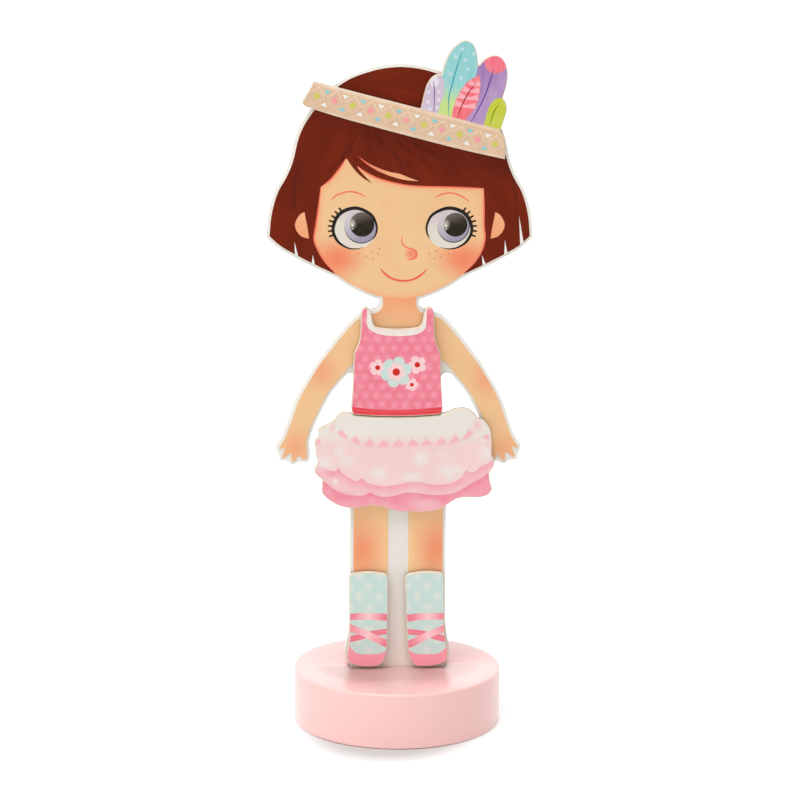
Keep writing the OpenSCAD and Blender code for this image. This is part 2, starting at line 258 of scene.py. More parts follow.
def flower(middle: Point, radius: float, petals: int, notch: float, turn: float) -> Outline:
    """Draws a flower with round petals.

    Args:
        middle: The flower's middle.
        radius: How far the petals reach.
        petals: How many petals there are.
        notch: How deep the notch between two petals is, as a share of the radius.
        turn: How far the flower is turned, in degrees.

    Returns:
        The outline.
    """
    outline = []
    steps = petals * PETAL_STEPS
    for i in range(steps):
        angle = math.tau * i / steps
        bulge = math.sqrt(abs(math.cos(petals * angle / 2)))
        reach = radius * (1 - notch + notch * bulge)
        way = angle + math.radians(turn)
        outline.append((middle[0] + reach * math.cos(way), middle[1] + reach * math.sin(way)))
    return outline


def stroke(points: Path, widths: Sequence[float], taper: float = 0.35) -> Outline:
    """Draws a brush stroke whose width changes along its way.

    Args:
        points: The stroke's middle line.
        widths: The width at each point, or one width for a stroke with tapered ends.
        taper: The share of one width that is left at the ends.

    Returns:
        The stroke's outline.
    """
    if len(widths) == 1:
        inner = len(points) - 2
        widths = [widths[0] * taper, *([widths[0]] * inner), widths[0] * taper]
    track = curve([(x, z, w) for (x, z), w in zip(points, widths)])
    left, right = [], []
    for i, (x, z, width) in enumerate(track):
        back, ahead = track[max(i - 1, 0)], track[min(i + 1, len(track) - 1)]
        way = Vector((ahead[0] - back[0], ahead[1] - back[1])).normalized()
        left.append((x - way.y * width / 2, z + way.x * width / 2))
        right.append((x + way.y * width / 2, z - way.x * width / 2))
    return left + right[::-1]


def signed_area(outline: Path) -> float:
    """Measures an outline's area, which is positive where it runs counter-clockwise."""
    pairs = zip(outline, [*outline[1:], outline[0]])
    return sum(ax * bz - bx * az for (ax, az), (bx, bz) in pairs) / 2


def counter_clockwise(outline: Path) -> Outline:
    """Gives the outline's points in counter-clockwise order."""
    return list(outline) if signed_area(outline) > 0 else list(outline)[::-1]


def chained(edges: dict[Any, Any]) -> list[list[Any]]:
    """Chains directed edges into closed loops.

    Args:
        edges: The end of each edge by its start.

    Returns:
        The loops, each as a list of starts.
    """
    left = dict(edges)
    loops = []
    while left:
        start, place = left.popitem()
        loop = [start]
        while place != start and place in left:
            loop.append(place)
            place = left.pop(place)
        loops.append(loop)
    return loops


def rim_edges(triangles: Sequence[Sequence[Any]]) -> dict[Any, Any]:
    """Finds the edges that only one of the triangles has, as their ends by their starts."""
    directed = {(t[i - 1], t[i]) for t in triangles for i in range(len(t))}
    return {a: b for a, b in directed if (b, a) not in directed}


def merged(node: str) -> bmesh.types.BMesh:
    """Copies a CAD node's mesh, with its loose triangles joined.

    Args:
        node: The CAD node.

    Returns:
        The working copy.
    """
    shape = bmesh.new()
    shape.from_mesh(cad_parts[node].data)
    bmesh.ops.remove_doubles(shape, verts=shape.verts, dist=MERGE)
    shape.verts.index_update()
    return shape


def front_outline(node: str) -> Outline:
    """Reads the outline of a flat CAD node's front.

    Args:
        node: The CAD node.

    Returns:
        The outline in millimetres, counter-clockwise.
    """
    shape = merged(node)
    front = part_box(node)[0][1]
    places = [(v.co.x / MM, v.co.z / MM) for v in shape.verts]
    level = {v.index for v in shape.verts if abs(v.co.y - front) < MERGE}
    corners = [[v.index for v in face.verts] for face in shape.faces]
    shape.free()
    loops = chained(rim_edges([c for c in corners if level.issuperset(c)]))
    outlines = [[places[i] for i in loop] for loop in loops]
    return counter_clockwise(max(outlines, key=lambda outline: abs(signed_area(outline))))


def thinned(outline: Path, least: float, corner: float = 0.5) -> Outline:
    """Drops points that crowd together, and keeps corners.

    Args:
        outline: The outline.
        least: The least distance between two kept points.
        corner: The turn in radians above which a point is kept.

    Returns:
        The thinner outline.
    """
    kept: Outline = []
    count = len(outline)
    for i, here in enumerate(outline):
        before, after = Vector(outline[i - 1]), Vector(outline[(i + 1) % count])
        turn = (Vector(here) - before).angle_signed(after - Vector(here), 0.0)
        if not kept or math.dist(kept[-1], here) >= least or abs(turn) > corner:
            kept.append(here)
    return kept


def in_frame(point: Point, y: float = 0.0) -> Place:
    """Turns a picture point in millimetres into the frame's metres, at a y in metres."""
    return (point[0] * MM, y, point[1] * MM)


# Node trees

def operator(operation: str) -> Callable[["Signal", Any], "Signal"]:
    """Makes an arithmetic operator of signals."""
    return lambda left, right: left.wires.maths(operation, left, right)


@dataclass(frozen=True)
class Signal:
    """A number, vector, colour or geometry on its way through a node tree, with the usual arithmetic."""

    wires: "Wiring"
    socket: bpy.types.NodeSocket

    __add__ = operator("ADD")
    __sub__ = operator("SUBTRACT")
    __mul__ = operator("MULTIPLY")
    __truediv__ = operator("DIVIDE")
    __mod__ = operator("MODULO")
    __pow__ = operator("POWER")

    def __rsub__(self, other: float) -> "Signal":
        """Takes the signal away from a number."""
        return self.wires.maths("SUBTRACT", other, self)

    def __abs__(self) -> "Signal":
        """Drops a number's sign."""
        return self.wires.maths("ABSOLUTE", self)

    def length(self) -> "Signal":
        """Measures a vector."""
        return self.wires.maths("LENGTH", self)


class Wiring:
    """Adds nodes to one node tree and wires them up."""

    def __init__(self, tree: Tree) -> None:
        """Starts on a tree."""
        self.tree = tree

    def feed(self, inputs: Any, feeds: dict[Any, Any]) -> None:
        """Links a node's inputs to signals, or sets their values.

        Args:
            inputs: The inputs.
            feeds: Signals or values by the name or the number of the input.
        """
        for key, value in feeds.items():
            if isinstance(value, Signal):
                self.tree.links.new(value.socket, inputs[key])
            else:
                inputs[key].default_value = value

    def node(self, kind: str, feeds: dict[Any, Any], **settings: Any) -> bpy.types.Node:
        """Adds a node.

        Args:
            kind: The node's type name.
            feeds: Signals or values by the name or the number of the node's input.
            **settings: The node's own settings.

        Returns:
            The node.
        """
        node = self.tree.nodes.new(kind)
        for name, value in settings.items():
            setattr(node, name, value)
        self.feed(node.inputs, feeds)
        return node

    def add(self, kind: str, feeds: dict[Any, Any], output: int | str = 0, **settings: Any) -> Signal:
        """Adds a node and gives the signal of one of its outputs."""
        return Signal(self, self.node(kind, feeds, **settings).outputs[output])

    def maths(self, operation: str, *values: Any) -> Signal:
        """Adds a calculation.

        Args:
            operation: What is calculated.
            *values: What it is calculated from. A vector or a colour makes it a calculation with vectors.

        Returns:
            The result.
        """
        kinds = {value.socket.type for value in values if isinstance(value, Signal)}
        numbers = kinds.isdisjoint(("VECTOR", "RGBA"))
        kind = "ShaderNodeMath" if numbers else "ShaderNodeVectorMath"
        output = "Value" if numbers or operation == "LENGTH" else "Vector"
        return self.add(kind, dict(enumerate(values)), output, operation=operation)

    def parts(self, vector: Signal) -> list[Signal]:
        """Splits a vector into its three numbers."""
        return [Signal(self, part) for part in self.node("ShaderNodeSeparateXYZ", {0: vector}).outputs]

    def joined(self, x: Any, y: Any, z: Any) -> Signal:
        """Joins three numbers into a vector."""
        return self.add("ShaderNodeCombineXYZ", {0: x, 1: y, 2: z})

    def ramp(self, value: Any, start: Any, end: Any, low: Any = 0.0, high: Any = 1.0) -> Signal:
        """Eases a number from low at start to high at end."""
        feeds = {0: value, 1: start, 2: end, 3: low, 4: high}
        return self.add("ShaderNodeMapRange", feeds, interpolation_type="SMOOTHSTEP")

    def mix(self, share: Any, first: Any, second: Any, blend: str = "MIX") -> Signal:
        """Mixes two colours."""
        feeds = {0: share, 6: first, 7: second}
        return self.add("ShaderNodeMix", feeds, 2, data_type="RGBA", blend_type=blend)

    def noise(self, point: Any, scale: float = 1.0, detail: float = 2.0, output: int = 0) -> Signal:
        """Adds soft noise and gives its strength, or its colour as output 1."""
        return self.add("ShaderNodeTexNoise", {"Vector": point, "Scale": scale, "Detail": detail}, output)


class Group(Wiring):
    """A node tree of its own, with named inputs."""

    def __init__(self, name: str, kind: str, inputs: dict[str, Sequence[str]]) -> None:
        """Makes the tree.

        Args:
            name: The tree's name.
            kind: The tree's type name.
            inputs: The names of its inputs, by the kind of their sockets.
        """
        super().__init__(bpy.data.node_groups.new(name, kind))
        face = self.tree.interface
        self.keys = {
            key: face.new_socket(key, in_out="INPUT", socket_type=f"NodeSocket{socket}").identifier
            for socket, keys in inputs.items() for key in keys
        }
        self.start = self.tree.nodes.new("NodeGroupInput")

    def __getitem__(self, key: str) -> Signal:
        """Gives an input by its name."""
        return Signal(self, self.start.outputs[key])

    def send(self, socket: str, outputs: dict[str, Signal]) -> None:
        """Sends signals out of the tree, through outputs of one kind of socket."""
        for key in outputs:
            self.tree.interface.new_socket(key, in_out="OUTPUT", socket_type=f"NodeSocket{socket}")
        self.feed(self.tree.nodes.new("NodeGroupOutput").inputs, outputs)


class Effect(Group):
    """A shader effect that materials share, with numbers as its outputs."""

    def __init__(self, name: str, **inputs: Sequence[str]) -> None:
        """Makes the group, with the names of its inputs by the kind of their sockets."""
        super().__init__(name, "ShaderNodeTree", inputs)

    def ended(self, **outputs: Signal) -> Tree:
        """Sends the outputs out by their names and gives the finished group."""
        self.send("Float", outputs)
        return self.tree


# The point's distance from the picture's plane doesn't count
IN_PLANE = (1.0, 0.0, 1.0)
CELL_MIDDLE = (0.5, 0.5, 0.5)


@functools.cache
def soft_spot_effect() -> Tree:
    """Builds a spot that fades out from its middle.

    Returns:
        The group, with a mask as its output.
    """
    group = Effect("soft_spot", Vector=("Point", "Middle", "Reach"))
    away = (group["Point"] - group["Middle"]) * IN_PLANE / group["Reach"]
    return group.ended(Mask=group.ramp(away.length(), 0.0, 1.0, 1.0, 0.0))


@functools.cache
def soft_dots_effect() -> Tree:
    """Builds staggered rows of soft printed dots.

    Returns:
        The group, with a mask as its output.
    """
    group = Effect("soft_dots", Vector=("Point", "Origin", "Pitch"), Float=("Radius",))
    wobble = group.noise(group["Point"], scale=420.0, detail=1.0, output=1) - CELL_MIDDLE
    cell = (group["Point"] + wobble * (0.0016, 0.0, 0.0016) - group["Origin"]) / group["Pitch"]
    rows = []
    for offset in (CELL_MIDDLE, (0.0, 0.0, 0.0)):
        away = (group.maths("FRACTION", cell + offset) - CELL_MIDDLE) * group["Pitch"] * IN_PLANE
        rows.append(group.ramp(away.length(), group["Radius"] * 0.1, group["Radius"], 1.0, 0.0))
    return group.ended(Mask=group.maths("MAXIMUM", *rows))


@functools.cache
def streaks_effect() -> Tree:
    """Builds fine streaks that run out from a root, as brushed hair and feather barbs do.

    Returns:
        The group, with a mask as its output.
    """
    group = Effect("streaks", Vector=("Point", "Root"), Float=("Fineness",))
    away = (group["Point"] - group["Root"]) * IN_PLANE
    x, _, z = group.parts(away)
    angle = group.maths("ARCTAN2", x, z * -1.0)
    bend = group.noise(group["Point"], scale=55.0) * 2.2
    swept = group.joined(angle * group["Fineness"] + bend, 0.0, away.length() * 30.0)
    return group.ended(Mask=group.ramp(group.noise(swept, detail=4.0), 0.36, 0.66))


@functools.cache
def brushwork_effect() -> Tree:
    """Builds soft blotches, as a watercolour brush leaves.

    Returns:
        The group, with a mask as its output.
    """
    group = Effect("brushwork", Vector=("Point", "Stretch"))
    blotches = group.noise(group["Point"] * group["Stretch"], detail=3.0)
    return group.ended(Mask=group.ramp(blotches, 0.38, 0.68))


@functools.cache
def gathers_effect() -> Tree:
    """Builds a row of soft gathered folds, each with a narrow top that opens into a bell.

    Returns:
        The group, with a mask as its output.
    """
    group = Effect("gathers", Vector=("Point", "Origin"), Float=("Pitch", "Height", "Bow", "Reach"))
    x, _, z = group.parts(group["Point"] - group["Origin"])
    sway = (group.noise(group["Point"], scale=190.0) - 0.5) * 0.002
    rise = (z + sway - abs(x) ** 4.0 * group["Bow"]) / group["Height"]
    away = abs(group.maths("FRACT", (x + sway) / group["Pitch"]) - 0.5)
    spread = group.ramp(rise, -0.1, 0.8, 0.56, 0.1)
    inside = group.ramp(away, spread * 0.35, spread, 1.0, 0.0)
    foot, head = group.ramp(rise, -0.45, 0.15), group.ramp(rise, 0.15, 1.2, 1.0, 0.0)
    within = group.maths("LESS_THAN", abs(x), group["Reach"])
    return group.ended(Mask=inside * (within * (foot * head)))


@functools.cache
def print_skin_effect() -> Tree:
    """Builds the skin of a glued and varnished print: fibres, faint clouding and rubbed gloss.

    Returns:
        The group, with tone, roughness and height as its outputs.
    """
    group = Effect("print_skin", Vector=("Point",), Float=("Gloss",))
    fibre = group.noise(group["Point"] * (2600.0, 2600.0, 900.0), detail=3.0)
    cloud = group.noise(group["Point"], scale=70.0, detail=3.0)
    rub = group.noise(group["Point"], scale=240.0, detail=4.0)
    tone = fibre * 0.05 + cloud * 0.06 + 0.945
    return group.ended(Tone=tone, Roughness=group["Gloss"] + rub * 0.16, Height=fibre * 0.35 + rub * 0.65)


@functools.cache
def lacquer_effect() -> Tree:
    """Builds sprayed lacquer: a faint orange peel, soft clouds and an uneven gloss.

    Returns:
        The group, with tone, roughness and height as its outputs.
    """
    group = Effect("lacquer", Vector=("Point",), Float=("Gloss",))
    cloud = group.noise(group["Point"], scale=34.0, detail=3.0)
    rub = group.noise(group["Point"], scale=190.0, detail=4.0)
    peel = group.noise(group["Point"], scale=620.0)
    return group.ended(Tone=cloud * 0.05 + 0.97, Roughness=group["Gloss"] + rub * 0.12, Height=peel)


@functools.cache
def wood_effect() -> Tree:
    """Builds fine light wood: long growth lines and short pores along the board.

    Returns:
        The group, with line and pore masks and a height as its outputs.
    """
    group = Effect("wood", Vector=("Point",))
    x, y, z = group.parts(group["Point"])
    across = x * 420.0 + group.noise(group["Point"], scale=28.0) * 5.0
    lines = group.noise(group.joined(across, y * 1500.0, z * 14.0), detail=3.0)
    pores = group.noise(group["Point"] * (3200.0, 3200.0, 260.0), detail=1.0)
    masks = {"Lines": group.ramp(lines, 0.34, 0.7), "Pores": group.ramp(pores, 0.62, 0.74)}
    return group.ended(**masks, Height=lines - pores * 0.6)


@functools.cache
def plating_effect() -> Tree:
    """Builds plated metal: tumbled scratches and a cloudy gloss.

    Returns:
        The group, with tone, roughness and height as its outputs.
    """
    group = Effect("plating", Vector=("Point",), Float=("Gloss",))
    scratch = group.noise(group["Point"] * (5200.0, 5200.0, 500.0))
    cloud = group.noise(group["Point"], scale=380.0, detail=3.0)
    return group.ended(Tone=cloud * 0.22 + 0.86, Roughness=group["Gloss"] + scratch * 0.3, Height=scratch)


class Surface(Wiring):
    """A material under construction, with its shader and the point that is shaded."""

    def __init__(self, material: bpy.types.Material) -> None:
        """Starts on a new material."""
        material.use_nodes = True
        super().__init__(material.node_tree)
        self.shader = self.tree.nodes["Principled BSDF"]
        self.point = self.add("ShaderNodeTexCoord", {}, "Object")

    def effect(self, group: Tree, **feeds: Any) -> dict[str, Signal]:
        """Places a shared effect.

        Args:
            group: The effect.
            **feeds: Signals or values by the names of its inputs, apart from the point.

        Returns:
            Its outputs by name.
        """
        node = self.node("ShaderNodeGroup", {"Point": self.point, **feeds}, node_tree=group)
        return {output.name: Signal(self, output) for output in node.outputs}

    def shade(self, feeds: dict[str, Any]) -> None:
        """Links or sets inputs of the shader by their names."""
        self.feed(self.shader.inputs, feeds)

    def tinted(self, colour: Any, tone: Signal) -> None:
        """Gives the surface a colour that is clouded by a tone."""
        self.shade({"Base Color": self.mix(1.0, colour, tone, "MULTIPLY")})

    def embossed(self, height: Signal, depth: float) -> None:
        """Gives the surface a relief with a depth in millimetres."""
        feeds = {"Height": height, "Distance": depth * MM, "Strength": 1.0}
        self.shade({"Normal": self.add("ShaderNodeBump", feeds)})

    def coated(self, colour: Any, group: Tree, gloss: float, depth: float) -> None:
        """Gives the surface a colour and the skin that clouds, dulls and embosses it.

        Args:
            colour: The colour.
            group: The skin's effect, which gives tone, roughness and height.
            gloss: The skin's least roughness.
            depth: The depth of its relief, in millimetres.
        """
        skin = self.effect(group, Gloss=gloss)
        self.tinted(colour, skin["Tone"])
        self.shade({"Roughness": skin["Roughness"]})
        self.embossed(skin["Height"], depth)


# Finishes

class InkLayer(ABC):
    """Something that tints a print over its flat inks."""

    ink: Ink
    strength: float

    @abstractmethod
    def mask(self, surface: Surface) -> Signal:
        """Gives where the layer shows, from 0 to 1."""


@dataclass(frozen=True)
class SoftSpot(InkLayer):
    """An airbrushed spot."""

    middle: Point
    reach: Point
    ink: Ink
    strength: float = 1.0

    def mask(self, surface: Surface) -> Signal:
        """Gives the spot's own fade."""
        sizes = {"Middle": in_frame(self.middle), "Reach": in_frame(self.reach, 1.0)}
        return surface.effect(soft_spot_effect(), **sizes)["Mask"]


@dataclass(frozen=True)
class SoftDots(InkLayer):
    """Staggered rows of soft dots."""

    origin: Point
    pitch: Point
    radius: float
    ink: Ink
    strength: float = 1.0

    def mask(self, surface: Surface) -> Signal:
        """Gives the dots."""
        places = {"Origin": in_frame(self.origin), "Pitch": in_frame(self.pitch, 1.0)}
        return surface.effect(soft_dots_effect(), **places, Radius=self.radius * MM)["Mask"]


@dataclass(frozen=True)
class Streaks(InkLayer):
    """Streaks that run out from a root."""

    root: Point
    fineness: float
    ink: Ink
    strength: float = 1.0

    def mask(self, surface: Surface) -> Signal:
        """Gives the streaks."""
        return surface.effect(streaks_effect(), Root=in_frame(self.root), Fineness=self.fineness)["Mask"]


@dataclass(frozen=True)
class Brushwork(InkLayer):
    """Soft blotches of another ink, with the size of a blotch across and up in millimetres."""

    size: Point
    ink: Ink
    strength: float = 1.0

    def mask(self, surface: Surface) -> Signal:
        """Gives the blotches."""
        stretch = (1 / (self.size[0] * MM), 1.0, 1 / (self.size[1] * MM))
        return surface.effect(brushwork_effect(), Stretch=stretch)["Mask"]


@dataclass(frozen=True)
class Gathers(InkLayer):
    """A bowed row of gathered folds."""

    origin: Point
    pitch: float
    height: float
    bow: float
    reach: float
    ink: Ink
    strength: float = 1.0

    def mask(self, surface: Surface) -> Signal:
        """Gives the folds."""
        lengths = {"Pitch": self.pitch * MM, "Height": self.height * MM, "Reach": self.reach * MM}
        bow = self.bow / MM**3
        return surface.effect(gathers_effect(), Origin=in_frame(self.origin), Bow=bow, **lengths)["Mask"]


class Finish(ABC):
    """What a surface is made of."""

    name: str

    @abstractmethod
    def wire(self, surface: Surface) -> None:
        """Wires the finish's colour, gloss and relief to its shader."""

    @functools.cache
    def material(self) -> bpy.types.Material:
        """Builds the material once."""
        material = bpy.data.materials.new(self.name)
        self.wire(Surface(material))
        return material


PRINT_GLOSS = 0.34
PRINT_SHINE = 0.10


@dataclass(frozen=True)
class PrintFinish(Finish):
    """A varnished print whose flat inks come with the mesh, and the layers over them."""

    name: str
    layers: tuple[InkLayer, ...] = ()
    gloss: float = PRINT_GLOSS
    relief: float = 0.012

    def wire(self, surface: Surface) -> None:
        """Lays the layers over the inks, under one varnish.

        Args:
            surface: The material.
        """
        colour = surface.add("ShaderNodeAttribute", {}, "Color", attribute_name=INK_ATTRIBUTE)
        for layer in self.layers:
            colour = surface.mix(layer.mask(surface) * layer.strength, colour, layer.ink.linear)
        surface.coated(colour, print_skin_effect(), self.gloss, self.relief)
        surface.shade({"Specular IOR Level": PRINT_SHINE})


@dataclass(frozen=True)
class SpotFinish(Finish):
    """One printed ink for small marks, with blotches of a deeper one."""

    name: str
    ink: Ink
    deeper: Ink
    blotch: float = 0.7
    strength: float = 0.35
    relief: float = 0.008

    def wire(self, surface: Surface) -> None:
        """Varies the ink a little, as a print does.

        Args:
            surface: The material.
        """
        blotches = Brushwork((self.blotch, self.blotch), self.deeper).mask(surface)
        colour = surface.mix(blotches * self.strength, self.ink.linear, self.deeper.linear)
        surface.coated(colour, print_skin_effect(), PRINT_GLOSS, self.relief)
        surface.shade({"Specular IOR Level": PRINT_SHINE})


@dataclass(frozen=True)
class LacquerFinish(Finish):
    """Sprayed paint on wood."""

    name: str
    ink: Ink
    gloss: float
    coat: float
    peel: float
    coat_roughness: float = 0.24
    shine: float = 0.5
    shine_lost: float = 0.3

    def wire(self, surface: Surface) -> None:
        """Tints the paint by its clouding, under a coat that takes over some of its shine.

        Args:
            surface: The material.
        """
        surface.coated(self.ink.linear, lacquer_effect(), self.gloss, self.peel)
        surface.shade({
            "Specular IOR Level": self.shine - self.shine_lost * self.coat,
            "Coat Weight": self.coat,
            "Coat Roughness": self.coat_roughness,
        })


@dataclass(frozen=True)
class WoodFinish(Finish):
    """Sanded bare wood."""

    name: str
    light: Ink
    dark: Ink
    line_strength: float = 0.55
    pore_strength: float = 0.3
    smoothest: float = 0.56
    roughest: float = 0.68
    relief: float = 0.03

    def wire(self, surface: Surface) -> None:
        """Draws growth lines and pores.

        Args:
            surface: The material.
        """
        grain = surface.effect(wood_effect())
        lined = surface.mix(grain["Lines"] * self.line_strength, self.light.linear, self.dark.linear)
        surface.shade({
            "Base Color": surface.mix(grain["Pores"] * self.pore_strength, lined, self.dark.linear),
            "Roughness": surface.ramp(grain["Lines"], 0.0, 1.0, self.smoothest, self.roughest),
        })
        surface.embossed(grain["Height"], self.relief)


@dataclass(frozen=True)
class MetalFinish(Finish):
    """Plated or rolled metal."""

    name: str
    ink: Ink
    gloss: float
    relief: float = 0.006

    def wire(self, surface: Surface) -> None:
        """Clouds and scratches the metal."""
        surface.coated(self.ink.linear, plating_effect(), self.gloss, self.relief)
        surface.shade({"Metallic": 1.0})


@dataclass(frozen=True)
class FloorFinish(Finish):
    """The studio's floor, which the camera sees darker near the stand than the doll does: a darker paint for
    the camera under a painted glow that only the camera sees, which fades out in front of the stand and
    leaves a painted shadow there.
    """

    name: str
    ink: Ink
    bounce: Ink
    middle: Place
    near: float
    far: float
    camera_glow: float
    edge: float = 1.0
    edge_camera_glow: float = 0.4

    def wire(self, surface: Surface) -> None:
        """Adds the painted glow that only the camera sees, which fades out near the stand and leaves a
        painted shadow there.

        Args:
            surface: The material.
        """
        bounced = surface.add("ShaderNodeLightPath", {}, "Is Diffuse Ray")
        # Painted shade: the camera sees the darker ink, while bounced light takes the paler one.
        paint = surface.mix(bounced, self.ink.linear, self.bounce.linear)
        surface.tinted(paint, surface.effect(lacquer_effect())["Tone"])
        # Painted glow for the camera only: none within near of the middle in front of the stand, which is a
        # painted shadow, rising to full by far and more out to edge.
        away = (surface.point - self.middle).length()
        near_camera_glow = surface.ramp(away, self.near, self.far, 0.0, self.camera_glow)
        camera_glow = near_camera_glow + surface.ramp(away, self.far, self.edge, 0.0, self.edge_camera_glow)
        surface.shade({
            "Specular IOR Level": 0.0,
            "Emission Color": PURE_WHITE,
            "Emission Strength": (1.0 - bounced) * camera_glow,
        })


STAND_PAINT = LacquerFinish("pink_stand_paint", Ink.STAND_PINK, gloss=0.3, coat=1.0, peel=0.006)
BOARD_PAINT = LacquerFinish("white_board_paint", Ink.BOARD_WHITE, gloss=0.46, coat=0.0, peel=0.012)
BARE_WOOD = WoodFinish("bare_wood", Ink.WOOD, Ink.WOOD_DARK)
SCORCHED_WOOD = WoodFinish("scorched_edge", Ink.SCORCH, Ink.SCORCH_DARK)
NICKEL = MetalFinish("magnet_nickel", Ink.NICKEL, gloss=0.22)
STEEL = MetalFinish("disc_steel", Ink.STEEL, gloss=0.34)

LINE_INK = PrintFinish("line_ink")
CLOTH_INK = PrintFinish("underclothes_ink", (Brushwork((3.0, 5.0), Ink.SKIRT_PALE, 0.35),))
SATIN_INK = PrintFinish("satin_ribbon_ink", (Brushwork((2.4, 2.4), Ink.RIBBON_LIGHT, 0.10),), gloss=0.26)
LASH_INK = SpotFinish("lash_ink", Ink.OUTLINE, Ink.PUPIL)
FRECKLE_INK = SpotFinish("freckle_ink", Ink.FRECKLE, Ink.LIP)

SpotRow = tuple[Point, Point, float]


def soft_spots(ink: Ink, rows: Sequence[SpotRow]) -> list[SoftSpot]:
    """Gives soft spots of one ink from their middles, reaches and strengths."""
    return [SoftSpot(middle, reach, ink, strength) for middle, reach, strength in rows]


# Areas of a print

class Paint(Protocol):
    """What colours an area of a print: an ink, or a fade of two inks."""

    def at(self, point: Point) -> Colour:
        """Gives the colour at a point."""


@dataclass(frozen=True)
class Fade:
    """One ink that fades into another along a line."""

    near: Ink
    far: Ink
    start: Point
    end: Point

    def at(self, point: Point) -> Colour:
        """Gives the mix by how far along the line the point is.

        Args:
            point: The point.

        Returns:
            The linear colour.
        """
        along = Vector(self.end) - Vector(self.start)
        share = (Vector(point) - Vector(self.start)).dot(along) / along.length_squared
        return blended(self.near.linear, self.far.linear, share)


@dataclass(frozen=True)
class EdgeFade:
    """One ink along an edge that fades into another away from it."""

    near: Ink
    far: Ink
    edge: tuple[Point, ...]
    depth: float

    def at(self, point: Point) -> Colour:
        """Gives the mix by the distance from the edge.

        Args:
            point: The point.

        Returns:
            The linear colour.
        """
        here = Vector(point)
        away = math.inf
        for start, end in zip(self.edge, self.edge[1:]):
            first, span = Vector(start), Vector(end) - Vector(start)
            share = min(max((here - first).dot(span) / span.length_squared, 0.0), 1.0)
            away = min(away, (here - first - span * share).length)
        return blended(self.near.linear, self.far.linear, away / self.depth)


@dataclass(frozen=True)
class Area:
    """One area of a print: its outline, its paint and the finish it is printed in."""

    outline: Outline
    paint: Paint
    finish: PrintFinish = LINE_INK


def line(points: Path, ink: Ink, *widths: float, finish: PrintFinish = LINE_INK) -> Area:
    """Draws a brush stroke of one ink, with a width for each point or one for them all."""
    return Area(stroke(points, widths), ink, finish)


# Meshes

def linked(name: str, data: Any) -> Object:
    """Makes an object of a mesh, light or camera and links it to the scene."""
    made = bpy.data.objects.new(name, data)
    bpy.context.scene.collection.objects.link(made)
    return made


def piece(name: str, mesh: Mesh, body: str, slot: str, *replaced: str) -> None:
    """Puts a finished mesh into the scene.

    Args:
        name: The piece's name.
        mesh: Its mesh, already in place.
        body: The body that it rides on.
        slot: The record's slot that its finish belongs to; not used.
        *replaced: The CAD nodes that it stands for.
    """
    mesh.name = name
    made = linked(name, mesh)
    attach(made, body)
    if replaced:
        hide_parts(*replaced)
    log.info("%s on %s: %d faces", name, body, len(mesh.polygons))


def dress(mesh: Mesh, *finishes: Finish) -> None:
    """Gives a mesh new material slots."""
    mesh.materials.clear()
    for finish in finishes:
        mesh.materials.append(finish.material())


def dress_node(node: str, finish: Finish) -> None:
    """Gives a CAD node that stays in view its finish."""
    dress(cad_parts[node].data, finish)
    log.info("%s dressed in %s", node, finish.name)


def applied(made: Object) -> Mesh:
    """Turns an object with modifiers into a plain mesh and removes the object.

    Args:
        made: The object.

    Returns:
        The mesh that its modifiers give.
    """
    graph = bpy.context.evaluated_depsgraph_get()
    mesh = bpy.data.meshes.new_from_object(made.evaluated_get(graph), depsgraph=graph)
    bpy.data.objects.remove(made)
    return mesh


def as_mesh(name: str, shape: bmesh.types.BMesh) -> Mesh:
    """Turns a working shape into a mesh.

    Args:
        name: The mesh's name.
        shape: The shape, which is used up.

    Returns:
        The mesh.
    """
    mesh = bpy.data.meshes.new(name)
    shape.to_mesh(mesh)
    shape.free()
    return mesh


def mesh_of(name: str, places: Sequence[Sequence[float]], faces: Sequence[Sequence[int]] = ()) -> Mesh:
    """Makes a mesh from its points in metres and its faces.

    Args:
        name: The mesh's name.
        places: The points.
        faces: The numbers of each face's points.

    Returns:
        The mesh.
    """
    mesh = bpy.data.meshes.new(name)
    mesh.from_pydata(list(places), [], list(faces))
    return mesh


def wall(front: Sequence[int], back: Sequence[int]) -> list[list[int]]:
    """Gives the faces between two closed rings of points, by their numbers."""
    ahead = [*range(1, len(front)), 0]
    return [[front[i], back[i], back[j], front[j]] for i, j in enumerate(ahead)]


